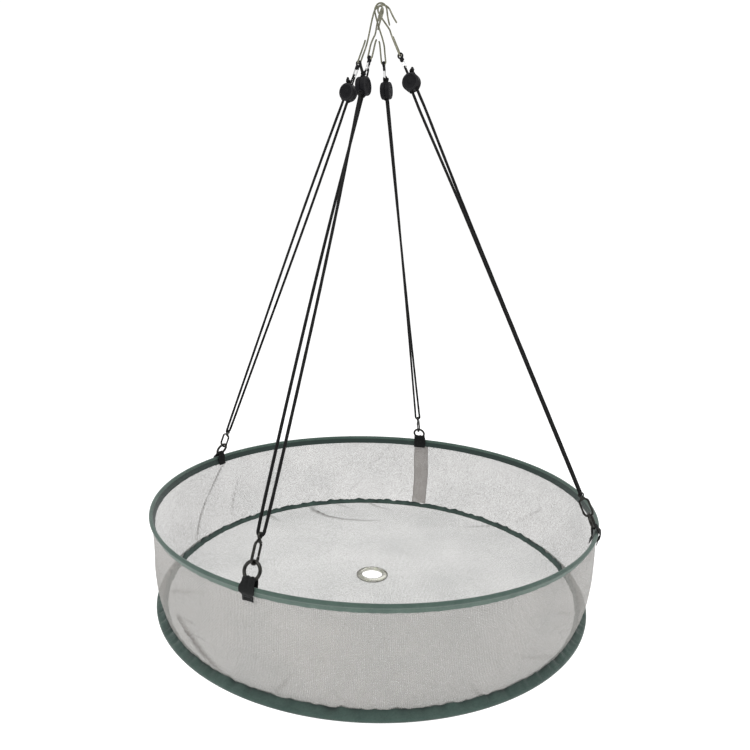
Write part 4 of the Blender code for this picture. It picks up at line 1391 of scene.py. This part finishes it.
def hook_line(roll):
    """The top hook about the eye's centre, in metres: a narrow lower loop, a shank and a wide top
    bend that opens towards the roll angle."""
    wire_r, loop, bend_r = 1.4 * MM, 3.7 * MM, 11 * MM
    top = 90.6 * MM
    way = Vector((math.cos(math.radians(roll)), math.sin(math.radians(roll)), 0.0))
    free_end = [(0.0, 1.9 * MM + wire_r + 1.2 * MM, 36 * MM), (0.0, loop, 31 * MM)]
    side_in = [(0.0, loop, 16 * MM)]
    turn = [(0.0, y, loop + z) for y, z in arc((0, 0), loop, 0, -180, 12)]
    side_out = [(0.0, -loop, 16 * MM), (0.0, -loop, 28 * MM), (0.0, -1.6 * MM, 40 * MM)]
    shank = [Vector((0.0, 0.0, 46 * MM)), way * -5 * MM + Vector((0, 0, 66 * MM))]
    centre = top - wire_r - bend_r
    middle = bend_r - 7 * MM
    bend = [way * (middle + x) + Vector((0, 0, centre + z))
            for x, z in arc((0, 0), bend_r, 180, 0, 16)]
    tip = [way * (middle + bend_r + 0.6 * MM) + Vector((0, 0, centre - 11 * MM)),
           way * (middle + bend_r + 2.6 * MM) + Vector((0, 0, centre - 23 * MM))]
    return [Vector(p) for p in free_end + side_in + turn + side_out + shank + bend + tip]


def make_hook(hanger):
    side = hanger.side
    place = hanger.moved(0, 0, hanger.eye_z)
    line = even_line(smooth_line(hook_line(HOOK_ROLL[side]), 0.8 * MM), 0.8 * MM)
    made = tube(f"hook_wire_{side}", line, 1.4 * MM, "hook", 14, matrix=place)
    attach(made, f"hook_{side}", "nickel", f"top_hook_{side}")


# ---------------------------------------------------------------- stage and light


def make_stage():
    data = bpy.data.meshes.new("stage_floor")
    shape = bmesh.new()
    bmesh.ops.create_circle(shape, cap_ends=True, segments=96, radius=30.0)
    shape.to_mesh(data)
    shape.free()
    data.materials.append(MATERIALS["stage"])
    made = bpy.data.objects.new("stage_floor", data)
    made.location = (0.0, 0.0, -1.45)
    bpy.context.scene.collection.objects.link(made)


def make_lights():
    world = bpy.data.worlds.new("studio")
    bpy.context.scene.world = world
    world.use_nodes = True
    tree = world.node_tree
    seen = tree.nodes["Background"]
    seen.inputs["Color"].default_value = (1.0, 1.0, 1.0, 1.0)
    seen.inputs["Strength"].default_value = 1.05
    room = tree.nodes.new("ShaderNodeBackground")
    place = tree.nodes.new("ShaderNodeTexCoord")
    split = tree.nodes.new("ShaderNodeSeparateXYZ")
    ramp = tree.nodes.new("ShaderNodeValToRGB")
    height = tree.nodes.new("ShaderNodeMapRange")
    height.inputs["From Min"].default_value = -1.0
    tree.links.new(place.outputs["Generated"], split.inputs[0])
    tree.links.new(split.outputs["Z"], height.inputs["Value"])
    tree.links.new(height.outputs["Result"], ramp.inputs["Fac"])
    stops = ((0.0, 0.75), (0.42, 0.5), (0.55, 0.42), (0.7, 0.7), (1.0, 1.15))
    while len(ramp.color_ramp.elements) < len(stops):
        ramp.color_ramp.elements.new(0.5)
    for element, (at, level) in zip(ramp.color_ramp.elements, stops):
        element.position = at
        element.color = (level, level, level, 1.0)
    tree.links.new(ramp.outputs["Color"], room.inputs["Color"])
    ray = tree.nodes.new("ShaderNodeLightPath")
    mix = tree.nodes.new("ShaderNodeMixShader")
    tree.links.new(ray.outputs["Is Camera Ray"], mix.inputs[0])
    tree.links.new(room.outputs[0], mix.inputs[1])
    tree.links.new(seen.outputs[0], mix.inputs[2])
    tree.links.new(mix.outputs[0], tree.nodes["World Output"].inputs["Surface"])
    for name, place, power, size in (("key", (-1.6, -2.2, 1.6), 38.0, 1.6),
                                     ("fill", (2.2, -1.6, 0.6), 12.0, 2.0),
                                     ("rim", (0.6, 2.4, 1.4), 14.0, 1.6)):
        data = bpy.data.lights.new(name, "AREA")
        data.energy = power
        data.size = size
        made = bpy.data.objects.new(name, data)
        bpy.context.scene.collection.objects.link(made)
        aim = (Vector((0, 0, -0.6)) - Vector(place)).to_track_quat("-Z", "Y")
        made.matrix_world = Matrix.Translation(place) @ aim.to_matrix().to_4x4()
    bpy.context.scene.view_settings.view_transform = "Standard"
    bpy.context.scene.view_settings.look = "None"


# ---------------------------------------------------------------- build

MATERIALS = make_materials()
make_camera()
HANGERS = [Hanger(side) for side in SIDES]
for one in HANGERS:
    make_long_cord(one)
    make_loop_cord(one)

make_upper_tape()
make_flange()
make_wall()
make_seam()
make_floor_net()
make_grommet()
for one in HANGERS:
    make_tab(one)
    make_o_ring(one)
    make_snap(one)
    make_adjuster(one)
    make_eye_link(one)
    make_hook(one)

for node_name, node_object in frame["nodes"].items():
    finish = ("wheel" if node_name.startswith("cord_wheel")
              else "axle" if node_name.startswith("wheel_axle") else "wire")
    node_object.data.materials.clear()
    node_object.data.materials.append(MATERIALS[finish])

make_stage()
make_lights()
